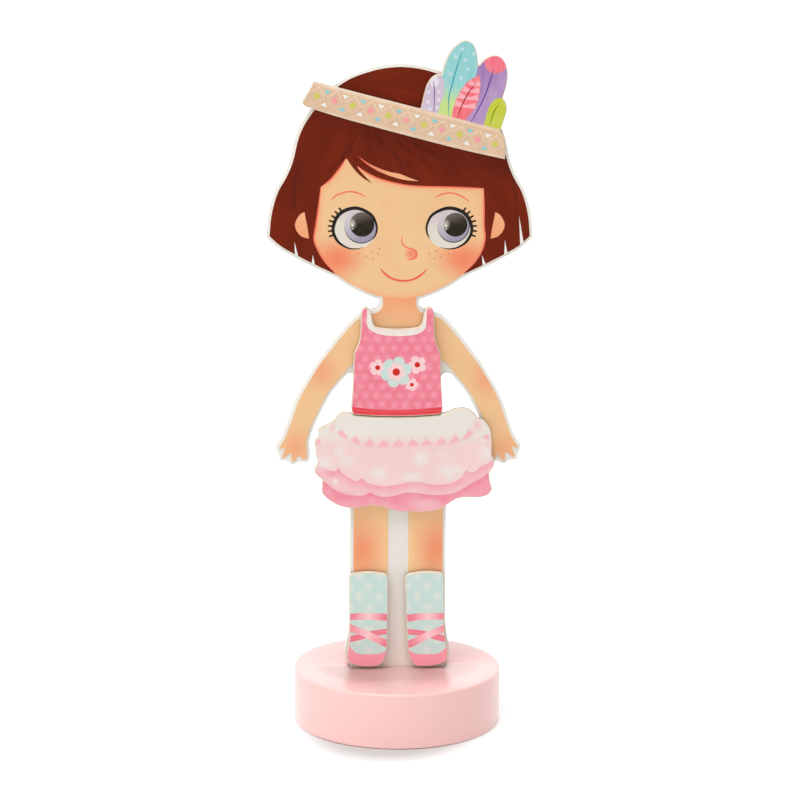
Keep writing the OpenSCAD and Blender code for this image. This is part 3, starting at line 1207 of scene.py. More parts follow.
@dataclass(frozen=True)
class PictureSheet:
    """A paper-thin closed print, cut to its CAD node's outline and filled with areas of ink."""

    node: str
    paint: Paint
    finish: PrintFinish
    areas: list[Area]

    def build(self, body: str, slot: str) -> None:
        """Builds the print, which replaces the CAD node.

        Args:
            body: The body that it rides on.
            slot: The record's slot of the print.
        """
        cut = front_outline(self.node)
        layers = [Area(cut, self.paint, self.finish), *self.areas]
        points, faces = [], []
        for layer in layers:
            outline = counter_clockwise(layer.outline)
            faces.append(list(range(len(points), len(points) + len(outline))))
            points.extend(Vector(p) for p in outline)
        points.extend(self.grid(cut))
        flat, _, triangles, _, _, sources = delaunay_2d_cdt(points, [], faces, ALL_TRIANGLES, TRIANGLE_GAP)
        kept = [(t, max(s)) for t, s in zip(triangles, sources) if 0 in s]
        mesh = self.closed_mesh(flat, [t for t, _ in kept])
        self.colour(mesh, layers, [top for _, top in kept])
        piece(f"{self.node}_sheet", mesh, body, slot, self.node)

    @staticmethod
    def grid(cut: Path) -> list[Vector]:
        """Gives points inside the cut's box, so that paints can fade.

        Args:
            cut: The print's outline.

        Returns:
            The points.
        """
        xs, zs = [p[0] for p in cut], [p[1] for p in cut]
        columns = int((max(xs) - min(xs)) / GRID_PITCH)
        rows = int((max(zs) - min(zs)) / GRID_PITCH)
        return [
            Vector((min(xs) + (i + 0.5) * GRID_PITCH, min(zs) + (j + 0.5) * GRID_PITCH))
            for i in range(columns) for j in range(rows)
        ]

    def closed_mesh(self, flat: Sequence[Vector], triangles: list[Sequence[int]]) -> Mesh:
        """Gives the printed triangles a back and edges.

        Args:
            flat: The points of the picture.
            triangles: The triangles that are inside the cut.

        Returns:
            The mesh, whose first faces are the triangles in their order.
        """
        low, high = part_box(self.node)
        used = sorted({i for t in triangles for i in t})
        number = {old: new for new, old in enumerate(used)}
        places = [in_frame(flat[i], low[1]) for i in used]
        faces = [[number[i] for i in t] for t in triangles]
        for loop in chained(rim_edges(faces)):
            back = range(len(places), len(places) + len(loop))
            places.extend((places[i][0], high[1], places[i][2]) for i in loop)
            faces.append(list(reversed(back)))
            faces.extend(wall(loop, back))
        return mesh_of(self.node, places, faces)

    @staticmethod
    def colour(mesh: Mesh, layers: list[Area], tops: list[int]) -> None:
        """Gives each face the ink and the finish of the area that is on top there.

        Args:
            mesh: The sheet's mesh.
            layers: All areas, the ground first.
            tops: The number of the top area of each printed triangle.
        """
        finishes = list(dict.fromkeys(layer.finish for layer in layers))
        dress(mesh, *finishes)
        inks = []
        for polygon in mesh.polygons:
            printed = polygon.index < len(tops)
            layer = layers[tops[polygon.index]] if printed else layers[0]
            polygon.material_index = finishes.index(layer.finish)
            paint = layer.paint if printed else Ink.CREAM
            for i in polygon.vertices:
                place = mesh.vertices[i].co
                inks.extend(paint.at((place.x / MM, place.z / MM)))
        attribute = mesh.attributes.new(INK_ATTRIBUTE, "FLOAT_COLOR", "CORNER")
        attribute.data.foreach_set("color", inks)


@dataclass(frozen=True)
class Board:
    """A sawn board with softly rounded rims and pockets for its round inserts."""

    node: str
    finish: Finish
    inserts: tuple[str, ...]
    rim: float = 0.22
    rim_steps: int = 4
    point_gap: float = 0.45
    pocket_gap: float = 0.1
    pocket_sides: int = 48
    pocket_overrun: float = 1.0
    scorch: Finish | None = None
    scorch_depth: float = 0.9
    scorch_slack: float = 0.01
    sharp_angle: float = 50.0

    def build(self, body: str, slot: str) -> None:
        """Builds the board, which replaces the CAD node.

        Args:
            body: The body that it rides on.
            slot: The record's slot of the board.
        """
        work = linked(f"{self.node}_work", self.slab())
        cutter = linked(f"{self.node}_cutter", self.pockets())
        cut = work.modifiers.new("pockets", "BOOLEAN")
        cut.operation = "DIFFERENCE"
        cut.solver = "MANIFOLD"
        cut.object = cutter
        mesh = applied(work)
        bpy.data.objects.remove(cutter)
        dress(mesh, self.finish, *([self.scorch] if self.scorch else []))
        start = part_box(self.node)[1][1] - (self.scorch_depth + self.scorch_slack) * MM
        for polygon in mesh.polygons:
            behind = min(mesh.vertices[i].co.y for i in polygon.vertices) > start
            polygon.material_index = int(self.scorch is not None and behind and polygon.normal.y < BACK_FACE)
            polygon.use_smooth = abs(polygon.normal.y) < FLAT_FACE
        mesh.set_sharp_from_angle(angle=math.radians(self.sharp_angle))
        piece(f"{self.node}_sawn", mesh, body, slot, self.node)

    def slab(self) -> Mesh:
        """Sweeps the board's outline around its rims.

        Returns:
            The closed mesh without pockets.
        """
        low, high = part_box(self.node)
        outline = thinned(front_outline(self.node), self.point_gap)
        count = len(outline)
        inward = [self.inward(outline, i) for i in range(count)]
        turns = [RIGHT_ANGLE * step / self.rim_steps for step in range(self.rim_steps + 1)]
        rim = [(self.rim * (1 - math.sin(turn)), self.rim * (1 - math.cos(turn)) * MM) for turn in turns]
        levels = [(inset, low[1] + drop) for inset, drop in rim]
        levels.append((0.0, high[1] - self.scorch_depth * MM))
        levels += [(inset, high[1] - drop) for inset, drop in reversed(rim)]
        places = [
            in_frame((p[0] + way[0] * inset, p[1] + way[1] * inset), y)
            for inset, y in levels for p, way in zip(outline, inward)
        ]
        rings = [range(start, start + count) for start in range(0, len(places), count)]
        faces = [list(rings[0]), list(reversed(rings[-1]))]
        for front, back in zip(rings, rings[1:]):
            faces.extend(wall(front, back))
        return mesh_of(self.node, places, faces)

    @staticmethod
    def inward(outline: Path, index: int) -> Point:
        """Gives the way into the board at one point of its outline, a unit from both edges.

        Args:
            outline: The outline, counter-clockwise.
            index: The point's number.

        Returns:
            The way, which is shortened at sharp corners.
        """
        here = Vector(outline[index])
        before = (here - Vector(outline[index - 1])).normalized()
        after = (Vector(outline[(index + 1) % len(outline)]) - here).normalized()
        middle = before + after
        if middle.length < SHARPEST_TURN:
            return (0.0, 0.0)
        middle.normalize()
        reach = 1 / max(before.dot(middle), LEAST_MITRE)
        return (-middle.y * reach, middle.x * reach)

    def pockets(self) -> Mesh:
        """Makes the round cutters for the inserts.

        Returns:
            A mesh of closed cylinders, a little longer than the inserts at their open end.
        """
        shape = bmesh.new()
        board_low, board_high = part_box(self.node)
        for insert in self.inserts:
            low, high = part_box(insert)
            front, back = low[1], high[1]
            if front - board_low[1] < board_high[1] - back:
                front -= self.pocket_overrun * MM
            else:
                back += self.pocket_overrun * MM
            place = Vector(((low[0] + high[0]) / 2, (front + back) / 2, (low[2] + high[2]) / 2))
            radius = (high[0] - low[0]) / 2 + self.pocket_gap * MM
            bmesh.ops.create_cone(
                shape, cap_ends=True, segments=self.pocket_sides, radius1=radius, radius2=radius,
                depth=back - front, matrix=Matrix.Translation(place) @ Matrix.Rotation(RIGHT_ANGLE, 4, "X"),
            )
        return as_mesh(f"{self.node}_pockets", shape)


# Geometry Nodes for what repeats

class Growth(Group):
    """A Geometry Nodes tree that is built in the script."""

    def __init__(self, name: str, **inputs: Sequence[str]) -> None:
        """Makes the tree, with the names of its inputs by the kind of their sockets."""
        super().__init__(name, "GeometryNodeTree", {"Geometry": ("Geometry",), **inputs})

    def slab(self, sides: int, radius: Signal, depth: Signal, turn: float = 0.0) -> Signal:
        """Adds a thin flat prism that faces the front.

        Args:
            sides: How many sides it has.
            radius: Its outer radius.
            depth: Its thickness.
            turn: How far it is turned in its own plane, in degrees.

        Returns:
            The prism's geometry.
        """
        feeds = {"Vertices": sides, "Radius": radius, "Depth": depth}
        prism = self.add("GeometryNodeMeshCylinder", feeds, "Mesh")
        flat = self.placed(prism, Rotation=(0.0, 0.0, math.radians(turn)))
        return self.placed(flat, Rotation=(RIGHT_ANGLE, 0.0, 0.0))

    def placed(self, geometry: Signal, **feeds: Any) -> Signal:
        """Moves, turns and scales some geometry."""
        return self.add("GeometryNodeTransform", {"Geometry": geometry, **feeds})

    def inked(self, geometry: Signal, ink: str) -> Signal:
        """Gives some geometry one of the tree's materials."""
        realized = self.add("GeometryNodeRealizeInstances", {"Geometry": geometry})
        return self.add("GeometryNodeSetMaterial", {"Geometry": realized, "Material": self[ink]})

    def on_points(self, points: Signal, instance: Signal, **feeds: Any) -> Signal:
        """Puts one shape on each point."""
        return self.add("GeometryNodeInstanceOnPoints", {"Points": points, "Instance": instance, **feeds})

    def ended(self, *geometries: Signal) -> "Growth":
        """Joins the geometries and ends the tree.

        Args:
            *geometries: The geometries.

        Returns:
            The finished tree.
        """
        join = self.node("GeometryNodeJoinGeometry", {})
        for geometry in geometries:
            self.feed(join.inputs, {0: geometry})
        self.send("Geometry", {"Geometry": Signal(self, join.outputs[0])})
        return self

    def grow(self, values: dict[str, Any], seeds: Sequence[Place] = ()) -> Mesh:
        """Runs the tree.

        Args:
            values: The tree's inputs by name, with finishes for its materials.
            seeds: The points that it grows on, in metres.

        Returns:
            A plain mesh.
        """
        made = linked(f"{self.tree.name}_work", mesh_of(self.tree.name, seeds))
        modifier = made.modifiers.new(self.tree.name, "NODES")
        modifier.node_group = self.tree
        for key, value in values.items():
            modifier[self.keys[key]] = value.material() if isinstance(value, Finish) else value
        return applied(made)


def in_metres(lengths: dict[str, float]) -> dict[str, float]:
    """Turns named lengths in millimetres into metres."""
    return {key: length * MM for key, length in lengths.items()}


@functools.cache
def spots_tree() -> Growth:
    """Builds the tree that puts a small round mark on each point.

    Returns:
        The tree.
    """
    growth = Growth("round_spots", Float=("Radius", "Thickness"), Material=("Ink",))
    mark = growth.slab(12, growth["Radius"], growth["Thickness"])
    return growth.ended(growth.inked(growth.on_points(growth["Geometry"], mark), "Ink"))


@functools.cache
def lashes_tree() -> Growth:
    """Builds the tree that sets a row of lashes around an oval eye.

    Returns:
        The tree.
    """
    eye = ("Middle X", "Middle Z", "Across", "Up", "Level")
    lash = ("Start", "Step", "Length", "Width", "Thickness")
    growth = Growth("eye_lashes", Float=(*eye, *lash), Int=("Count",), Material=("Ink",))
    points = growth.add("GeometryNodeMeshLine", {"Count": growth["Count"]})
    angle = growth["Start"] + growth.add("GeometryNodeInputIndex", {}) * growth["Step"]
    x = growth.maths("COSINE", angle) * growth["Across"] + growth["Middle X"]
    z = growth.maths("SINE", angle) * growth["Up"] + growth["Middle Z"]
    place = growth.joined(x, growth["Level"], z)
    row = growth.add("GeometryNodeSetPosition", {"Geometry": points, "Position": place})
    tip, base = growth["Width"] * 0.38, growth["Width"] * 0.5
    sizes = {"Vertices": 8, "Radius Top": tip, "Radius Bottom": base, "Depth": growth["Length"]}
    cone = growth.add("GeometryNodeMeshCone", sizes, "Mesh")
    flat = growth.placed(cone, Scale=growth.joined(1.0, growth["Thickness"] / growth["Width"], 1.0))
    turn = growth.joined(0.0, RIGHT_ANGLE - angle, 0.0)
    return growth.ended(growth.inked(growth.on_points(row, flat, Rotation=turn), "Ink"))


@functools.cache
def band_cells_tree() -> Growth:
    """Builds the tree of the headband's woven ornament: lattice cells, small diamonds and triangles.

    Returns:
        The tree, which lays the cells along the x axis.
    """
    lengths = ("Pitch", "Cell Height", "Line", "Diamond", "Triangle", "Triangle Rise", "Thickness")
    inks = ("Lattice", "Even Diamond", "Odd Diamond", "Even Triangle", "Odd Triangle")
    growth = Growth("band_cells", Float=lengths, Int=("Count",), Material=inks)
    count, pitch, thickness = growth["Count"], growth["Pitch"], growth["Thickness"]
    start = growth.joined((count - 1.0) * -0.5 * pitch, 0.0, 0.0)
    sizes = {"Count": count, "Start Location": start, "Offset": growth.joined(pitch, 0.0, 0.0)}
    row = growth.add("GeometryNodeMeshLine", sizes)
    index = growth.add("GeometryNodeInputIndex", {})
    odd = index % 2.0
    even = 1.0 - odd
    inner = growth.maths("LESS_THAN", index, count - 1.5)

    ring = growth.add("GeometryNodeCurvePrimitiveCircle", {"Resolution": 4, "Radius": 1.0})
    width, height = pitch * 0.5, growth["Cell Height"] * 0.5
    cell = growth.placed(ring, Scale=growth.joined(width, height, 1.0))
    bar_sizes = {"Width": growth["Line"], "Height": thickness}
    bar = growth.add("GeometryNodeCurvePrimitiveQuadrilateral", bar_sizes)
    lattice = growth.add("GeometryNodeCurveToMesh", {"Curve": cell, "Profile Curve": bar})
    upright = growth.placed(lattice, Rotation=(RIGHT_ANGLE, 0.0, 0.0))
    parts = [growth.inked(growth.on_points(row, upright), "Lattice")]

    diamond = growth.slab(4, growth["Diamond"], thickness)
    parts.append(growth.inked(growth.on_points(row, diamond, Selection=even), "Even Diamond"))
    parts.append(growth.inked(growth.on_points(row, diamond, Selection=odd), "Odd Diamond"))

    for sign, turn, first, second in ((1.0, -90.0, even, odd), (-1.0, 90.0, odd, even)):
        triangle = growth.slab(3, growth["Triangle"], thickness, turn)
        place = growth.joined(width, 0.0, growth["Triangle Rise"] * sign)
        shifted = growth.placed(triangle, Translation=place, Scale=(1.25, 1.0, 0.85))
        for ink, chosen in (("Even Triangle", first), ("Odd Triangle", second)):
            parts.append(growth.inked(growth.on_points(row, shifted, Selection=chosen * inner), ink))
    return growth.ended(*parts)


MARK_THICKNESS = 0.06


def spots(name: str, points: Path, radius: float, finish: Finish, level: float, body: str, slot: str) -> None:
    """Puts round printed marks on a print.

    Args:
        name: The piece's name.
        points: The marks' middles.
        radius: The marks' radius.
        finish: The marks' ink.
        level: The y of the print's front, in metres.
        body: The body that the print rides on.
        slot: The record's slot of the print.
    """
    values = {"Ink": finish, **in_metres({"Radius": radius, "Thickness": MARK_THICKNESS})}
    piece(name, spots_tree().grow(values, [in_frame(point, level) for point in points]), body, slot)


# Sub-assemblies

@dataclass(frozen=True)
class Stand:
    """The round lacquered stand with its slot."""

    node: str = "stand"
    sharp_angle: float = 40.0

    def build(self) -> None:
        """Copies the turned stand, with smooth rims and flat faces."""
        mesh = as_mesh(self.node, merged(self.node))
        dress(mesh, STAND_PAINT)
        for polygon in mesh.polygons:
            polygon.material_index = 0
            polygon.use_smooth = abs(polygon.normal.z) < FLAT_FACE
        mesh.set_sharp_from_angle(angle=math.radians(self.sharp_angle))
        piece("stand_turned", mesh, "stand", "pink_paint", self.node)


class Side(Enum):
    """The doll's side as the viewer sees it, as the sign of x."""

    LEFT = -1
    RIGHT = 1


@dataclass(frozen=True)
class Eye:
    """One printed eye, with its outline, iris, pupil and lashes."""

    side: Side
    middle: Point
    across: float
    up: float
    iris: Point
    iris_r: float
    pupil: Point
    pupil_r: float
    glint: Point
    first_lash: float = 126.0
    last_lash: float = 198.0
    lash_count: int = 7
    lash_length: float = 1.75
    lash_width: float = 0.78
    lash_inset: float = 0.4

    def turned(self, angle: float) -> float:
        """Mirrors an angle in degrees for the right eye, and gives it in radians."""
        return math.radians(angle if self.side is Side.LEFT else 180.0 - angle)

    def on_rim(self, angle: float, inset: float) -> Point:
        """Gives a point of the eye's oval, inset by some millimetres."""
        x = self.middle[0] + (self.across - inset) * math.cos(self.turned(angle))
        return (x, self.middle[1] + (self.up - inset) * math.sin(self.turned(angle)))

    def held(self, outline: Path, inset: float) -> Outline:
        """Holds an outline inside the eye's oval.

        Args:
            outline: The outline.
            inset: How far it stays from the oval.

        Returns:
            The outline, pulled in where it would leave the oval.
        """
        inside = []
        for x, z in outline:
            across, up = x - self.middle[0], z - self.middle[1]
            scale = 1 / max(math.hypot(across / (self.across - inset), up / (self.up - inset)), 1.0)
            inside.append((self.middle[0] + across * scale, self.middle[1] + up * scale))
        return inside

    def areas(self, finish: PrintFinish) -> list[Area]:
        """Draws the eye.

        Args:
            finish: The finish of the eyeball, with its soft light.

        Returns:
            The eye's areas, from the back to the front.
        """
        (cx, cz), (ix, iz), (px, pz) = self.middle, self.iris, self.pupil
        white = Fade(Ink.EYE_SHADE, Ink.EYE_WHITE, (cx, cz + 6.5), (cx + self.side.value * 2, cz + 0.5))
        rim_fade = Fade(Ink.EYE_SHADE, Ink.IRIS_RIM, (ix - 2.5, iz + 2.5), (ix, iz - 3.0))
        iris_fade = Fade(Ink.IRIS_PALE, Ink.IRIS, (ix - 2.5, iz + 3.4), (ix + 1.5, iz - 3.6))
        pupil_fade = Fade(Ink.PUPIL_LIGHT, Ink.PUPIL, (px - 0.8, pz + 4.0), (px + 0.3, pz + 0.2))
        rounds = (
            (disc(self.iris, self.iris_r, 56), 0.5, rim_fade),
            (disc(self.iris, self.iris_r - 0.45, 56), 0.55, iris_fade),
            (disc(self.pupil, self.pupil_r, 48), 0.6, pupil_fade),
        )
        angles = (-33, -12, 12, 45, 90, 135, 180, 215, 245, 270, 293)
        widths = (0.12, 0.62, 0.8, 1.0, 1.25, 1.3, 1.15, 0.95, 0.62, 0.4, 0.1)
        return [
            Area(ellipse(self.middle, self.across - 0.45, self.up - 0.45, 64), white, finish),
            *(Area(self.held(outline, inset), paint, finish) for outline, inset, paint in rounds),
            line([self.on_rim(angle, 0.55) for angle in angles], Ink.OUTLINE, *widths),
        ]

    def lashes(self, level: float) -> None:
        """Sets the lashes around the eye's outer side.

        Args:
            level: The y of the print's front, in metres.
        """
        step = (self.last_lash - self.first_lash) / (self.lash_count - 1)
        start = self.turned(self.first_lash)
        lengths = {
            "Middle X": self.middle[0], "Middle Z": self.middle[1],
            "Across": self.across - self.lash_inset, "Up": self.up - self.lash_inset,
            "Length": self.lash_length, "Width": self.lash_width, "Thickness": MARK_THICKNESS,
        }
        values = {
            "Start": start, "Step": self.turned(self.first_lash + step) - start, "Level": level,
            "Count": self.lash_count, "Ink": LASH_INK, **in_metres(lengths),
        }
        piece(f"{self.side.name.lower()}_lashes", lashes_tree().grow(values), "doll", "doll_print")


@dataclass(frozen=True)
class Doll:
    """The flat wooden figure: a painted board with a print on its front."""

    body: str = "doll"
    slot: str = "doll_print"
    discs: tuple[str, ...] = (
        "headband_left_disc", "headband_right_disc", "top_left_disc", "top_right_disc",
        "skirt_left_disc", "skirt_right_disc", "left_shoe_disc", "right_shoe_disc",
    )
    parting: Point = (-14.0, 231.0)
    eyes: tuple[Eye, Eye] = (
        Eye(Side.LEFT, (-15.9, 180.55), 8.25, 7.8, (-13.7, 181.2), 6.0, (-13.4, 182.0), 4.35, (-17.0, 182.2)),
        Eye(Side.RIGHT, (17.4, 180.55), 8.55, 7.8, (18.9, 181.2), 5.75, (19.6, 181.9), 4.25, (16.1, 182.0)),
    )
    freckle_r: float = 0.26
    freckles: tuple[Point, ...] = (
        (-14.6, 171.6), (-11.8, 170.6), (-10.1, 172.4), (-9.5, 169.8), (-7.7, 171.6), (-7.2, 173.5),
        (10.5, 171.6), (12.9, 172.5), (12.2, 169.9), (14.5, 170.6), (17.2, 171.5),
    )
    blush: tuple[SpotRow, ...] = (
        ((-22.2, 169.8), (13.0, 10.6), 0.95), ((22.5, 169.8), (13.0, 10.6), 0.95),
        ((4.0, 171.5), (3.2, 2.9), 0.95),
        ((-28.0, 130.0), (8.5, 11.0), 0.45), ((31.6, 127.2), (8.5, 12.0), 0.48),
        ((-37.0, 101.5), (7.5, 9.0), 0.42), ((38.4, 101.0), (7.5, 9.0), 0.42),
        ((-13.2, 63.8), (11.5, 17.5), 0.76), ((14.2, 63.8), (11.5, 17.5), 0.76),
    )

    def build(self) -> None:
        """Builds the board, the print and its marks, and dresses the discs."""
        Board("doll_board", BOARD_PAINT, self.discs).build(self.body, "white_paint")
        # The skin fades into the lighter leg ink below the skirt: painted light against the skirt's shade on
        # the legs.
        ground = Fade(Ink.SKIN, Ink.LEG_PAINTED_LIGHT, (0, 97), (0, 84))
        areas = [*self.body_areas(), *self.head_areas(), *self.face_areas()]
        PictureSheet("doll_print", ground, self.skin(), areas).build(self.body, self.slot)
        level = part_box("doll_print")[0][1]
        for eye in self.eyes:
            eye.lashes(level)
        spots("freckles", self.freckles, self.freckle_r, FRECKLE_INK, level, self.body, self.slot)
        for insert in self.discs:
            dress_node(insert, STEEL)

    def skin(self) -> PrintFinish:
        """Mixes the skin, with blush on cheeks, nose, arms, hands and knees."""
        warmth = Brushwork((9.0, 12.0), Ink.SKIN_WARM, 0.22)
        return PrintFinish("skin_ink", (warmth, *soft_spots(Ink.BLUSH, self.blush)))

    def hair(self) -> PrintFinish:
        """Mixes the hair, with dark and light streaks from the parting."""
        return PrintFinish("hair_ink", (
            Streaks(self.parting, 7.0, Ink.HAIR_DARK, 0.42),
            Streaks((self.parting[0] + 3, self.parting[1] + 4), 20.0, Ink.HAIR_LIGHT, 0.26),
            Brushwork((14.0, 20.0), Ink.HAIR_DARK, 0.34),
        ), gloss=0.30)

    def eyeball(self) -> PrintFinish:
        """Mixes the eyes, with a soft reflected light in each."""
        glints = soft_spots(Ink.EYE_WHITE, [(eye.glint, (1.9, 2.6), 0.7) for eye in self.eyes])
        return PrintFinish("eye_ink", (Brushwork((1.6, 1.6), Ink.EYE_SHADE, 0.02), *glints), gloss=0.24)

    def body_areas(self) -> list[Area]:
        """Draws the neck, the plain underclothes and the toes.

        Returns:
            The areas, from the back to the front.
        """
        neckline = [(-13.4, 137.0), (-7.0, 136.0), (0.0, 138.2), (7.0, 136.0), (13.4, 137.0)]
        vest = cornered(
            [(-13.2, 119.0), (-13.0, 126.0), (-13.4, 137.0)],
            neckline,
            [(13.4, 137.0), (13.0, 126.0), (13.2, 119.0)],
        )
        shorts = [
            (-18.0, 104.0), (-18.0, 86.0), (-4.4, 86.0), (-3.6, 89.0),
            (3.6, 89.0), (4.4, 86.0), (18.0, 86.0), (18.0, 104.0),
        ]
        drawn = [
            Area(rectangle(-12, 142, 12, 160), Fade(Ink.NECK, Ink.SKIN, (0, 156), (0, 144.5)), self.skin()),
            Area(vest, Fade(Ink.CLOTH, Ink.CREAM, (0, 138), (0, 105)), CLOTH_INK),
            line(neckline, Ink.ROSE, 0.7),
            Area(shorts, Fade(Ink.CREAM, Ink.CLOTH, (0, 104), (0, 86)), CLOTH_INK),
            Area(rectangle(-18, 103.0, 18, 104.6), Ink.ROSE),
        ]
        for side in Side:
            for toe in range(4):
                x = side.value * (8.4 + 2.1 * toe)
                drawn.append(line([(x, 23.0), (x, 24.4), (x - side.value * 0.2, 25.8)], Ink.CORAL, 0.4))
        return drawn

    def head_areas(self) -> list[Area]:
        """Draws the hair, the ears, the face's shape and the locks over the forehead.

        Returns:
            The areas, from the back to the front.
        """
        left_edge = [(-19.1, 205.2), (-21.2, 201.9), (-23.7, 198.7), (-25.4, 197.0), (-27.9, 195.2)]
        left_side = [
            (-27.9, 195.2), (-28.6, 188.9), (-29.6, 181.8), (-30.3, 176.8),
            (-28.9, 172.9), (-26.4, 168.7), (-23.6, 165.5), (-22.0, 163.2),
        ]
        chin = [
            (-22.0, 163.2), (-17.9, 160.2), (-10.7, 157.1), (-5.2, 156.1), (0.2, 155.6),
            (5.5, 156.1), (10.9, 157.1), (17.9, 160.2), (22.0, 163.0),
        ]
        right_side = [
            (22.0, 163.0), (23.5, 165.4), (26.3, 168.3), (28.8, 172.2),
            (30.1, 176.8), (29.7, 181.8), (29.6, 188.9), (29.4, 194.7),
        ]
        fringe = [
            (29.4, 194.7), (24.6, 194.9), (15.8, 195.2), (7.0, 195.4), (1.7, 195.9),
            (-3.6, 197.0), (-8.2, 198.4), (-12.4, 200.5), (-15.2, 202.6), (-19.1, 205.2),
        ]
        lock = cornered(
            [(-19.6, 206.4), (-16.6, 201.9), (-13.5, 198.7), (-9.6, 196.3)],
            [(-9.6, 196.3), (-10.7, 197.3), (-13.1, 199.8), (-15.2, 202.6), (-15.8, 207.0)],
        )
        gap = cornered(
            [
                (-14.9, 206.1), (-11.4, 203.7), (-7.2, 201.7), (-3.6, 200.5),
                (-0.1, 199.8), (3.4, 198.4), (6.6, 197.3),
            ],
            [(6.6, 197.3), (1.7, 197.7), (-2.9, 198.9), (-7.9, 200.9), (-12.1, 203.5), (-14.9, 206.1)],
        )
        strands = (
            [(-3.3, 213.7), (0.3, 210.2), (5.0, 206.6), (10.7, 202.5)],
            [(-10.0, 217.3), (-6.9, 211.2), (-1.7, 206.1), (4.0, 200.9)],
            [(-0.7, 213.0), (7.6, 209.2), (15.3, 205.1), (25.2, 200.9)],
            [(-14.6, 214.3), (-18.2, 208.1), (-21.8, 204.0), (-26.4, 198.8)],
            [(-34.0, 205.0), (-36.7, 198.8), (-37.4, 191.1), (-36.4, 184.0)],
            [(36.6, 206.0), (39.6, 197.8), (41.0, 190.0), (41.2, 183.0)],
        )
        skin, hair = self.skin(), self.hair()
        face = cornered(left_edge, left_side, chin, right_side, fringe)
        rims = (left_edge, left_side[:-1], right_side[1:], fringe[:-1])
        drawn = [
            Area(rectangle(-52, 160, 52, 245), Ink.HAIR, hair),
            *(line(strand, Ink.HAIR_STRAND, 0.2, 1.5, 1.2, 0.2, finish=hair) for strand in strands),
            Area(face, EdgeFade(Ink.SKIN_WARM, Ink.SKIN, (*face, face[0]), 2.2), skin),
            *(line(rim, Ink.CORAL, 0.55) for rim in rims),
            Area(lock, Ink.HAIR, hair),
            Area(gap, Fade(Ink.CORAL, Ink.SKIN_WARM, (-12, 204.5), (-4, 199.0))),
        ]
        for side in Side:
            drawn.append(Area(self.ear(side), Fade(Ink.SKIN_WARM, Ink.NECK, (0, 185), (0, 177)), skin))
            drawn.extend(self.slits(side))
        return drawn

    @staticmethod
    def ear(side: Side) -> Outline:
        """Draws the part of an ear that shows through the hair.

        Args:
            side: The ear's side.

        Returns:
            The outline.
        """
        back = [
            (33.7, 186.4), (35.4, 185.3), (36.7, 183.2), (37.0, 181.4),
            (36.2, 179.3), (34.4, 177.6), (32.1, 177.0),
        ]
        half = cornered(back, [(32.1, 177.0), (32.6, 180.7), (33.7, 186.4)])
        return [(side.value * x, z) for x, z in half]

    @staticmethod
    def slits(side: Side) -> list[Area]:
        """Draws the pale gaps between the hair's ends.

        Args:
            side: The hair's side.

        Returns:
            The gaps.
        """
        left = (
            [(-37.2, 175.8), (-37.0, 169.6), (-35.6, 169.6)],
            [(-30.7, 171.2), (-31.5, 166.0), (-29.7, 166.0)],
        )
        right = (
            [(42.1, 185.0), (42.7, 173.6), (44.2, 173.6)],
            [(37.2, 176.5), (37.0, 171.0), (38.3, 171.0)],
            [(29.1, 171.1), (29.5, 166.6), (31.0, 166.6)],
        )
        return [Area(wedge, Ink.WHITE) for wedge in (left if side is Side.LEFT else right)]

    def face_areas(self) -> list[Area]:
        """Draws the eyes, brows, nose and mouth.

        Returns:
            The areas, from the back to the front.
        """
        left_brow = [
            (-24.3, 190.6), (-22.6, 192.2), (-20.1, 193.2), (-17.7, 193.6), (-14.9, 193.1), (-12.0, 191.7),
        ]
        right_brow = [
            (12.4, 191.4), (14.0, 192.4), (16.8, 193.1), (19.3, 192.9), (22.2, 191.7), (24.6, 189.9),
        ]
        nose = [
            (0.8, 177.6), (0.7, 175.8), (1.3, 174.6), (2.9, 173.6),
            (5.1, 172.8), (5.9, 171.4), (5.1, 170.0), (2.6, 169.4),
        ]
        mouth = [
            (-6.8, 166.3), (-5.2, 164.4), (-2.4, 162.6), (1.2, 161.9),
            (4.7, 162.4), (7.5, 164.0), (9.7, 166.0),
        ]
        eyeball = self.eyeball()
        drawn = [area for eye in self.eyes for area in eye.areas(eyeball)]
        for eye in self.eyes:
            x, z = eye.glint
            for drop, radius in ((0.5, 0.34), (1.7, 0.22)):
                drawn.append(Area(disc((x + 0.2, z - drop), radius, 16), Ink.SNOW))
        return [
            *drawn,
            line(nose, Ink.CORAL, 0.25, 0.45, 0.5, 0.55, 0.75, 0.9, 0.75, 0.3),
            line(left_brow, Ink.CORAL, 0.55),
            line(right_brow, Ink.CORAL, 0.55),
            line(mouth, Ink.LIP, 0.75),
        ]


@dataclass(frozen=True)
class Garment(ABC):
    """A wooden garment: a bare board with a print in front and magnets in its back."""

    body: str

    @property
    def slot(self) -> str:
        """The record's slot of the garment's print."""
        return f"{self.body}_print"

    @property
    def magnets(self) -> tuple[str, ...]:
        """The garment's magnets."""
        return (f"{self.body}_left_magnet", f"{self.body}_right_magnet")

    @abstractmethod
    def ground(self) -> tuple[Paint, PrintFinish]:
        """Gives the paint and the finish under all areas."""

    @abstractmethod
    def areas(self) -> list[Area]:
        """Draws the garment from the back to the front."""

    def marks(self, level: float) -> None:
        """Adds what repeats on the print, whose front is at this y in metres."""

    def build(self) -> None:
        """Builds the board, the print and its marks, and dresses the magnets."""
        board = Board(f"{self.body}_board", BARE_WOOD, self.magnets, scorch=SCORCHED_WOOD)
        board.build(self.body, "bare_wood")
        PictureSheet(f"{self.body}_print", *self.ground(), self.areas()).build(self.body, self.slot)
        self.marks(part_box(f"{self.body}_print")[0][1])
        for magnet in self.magnets:
            dress_node(magnet, NICKEL)


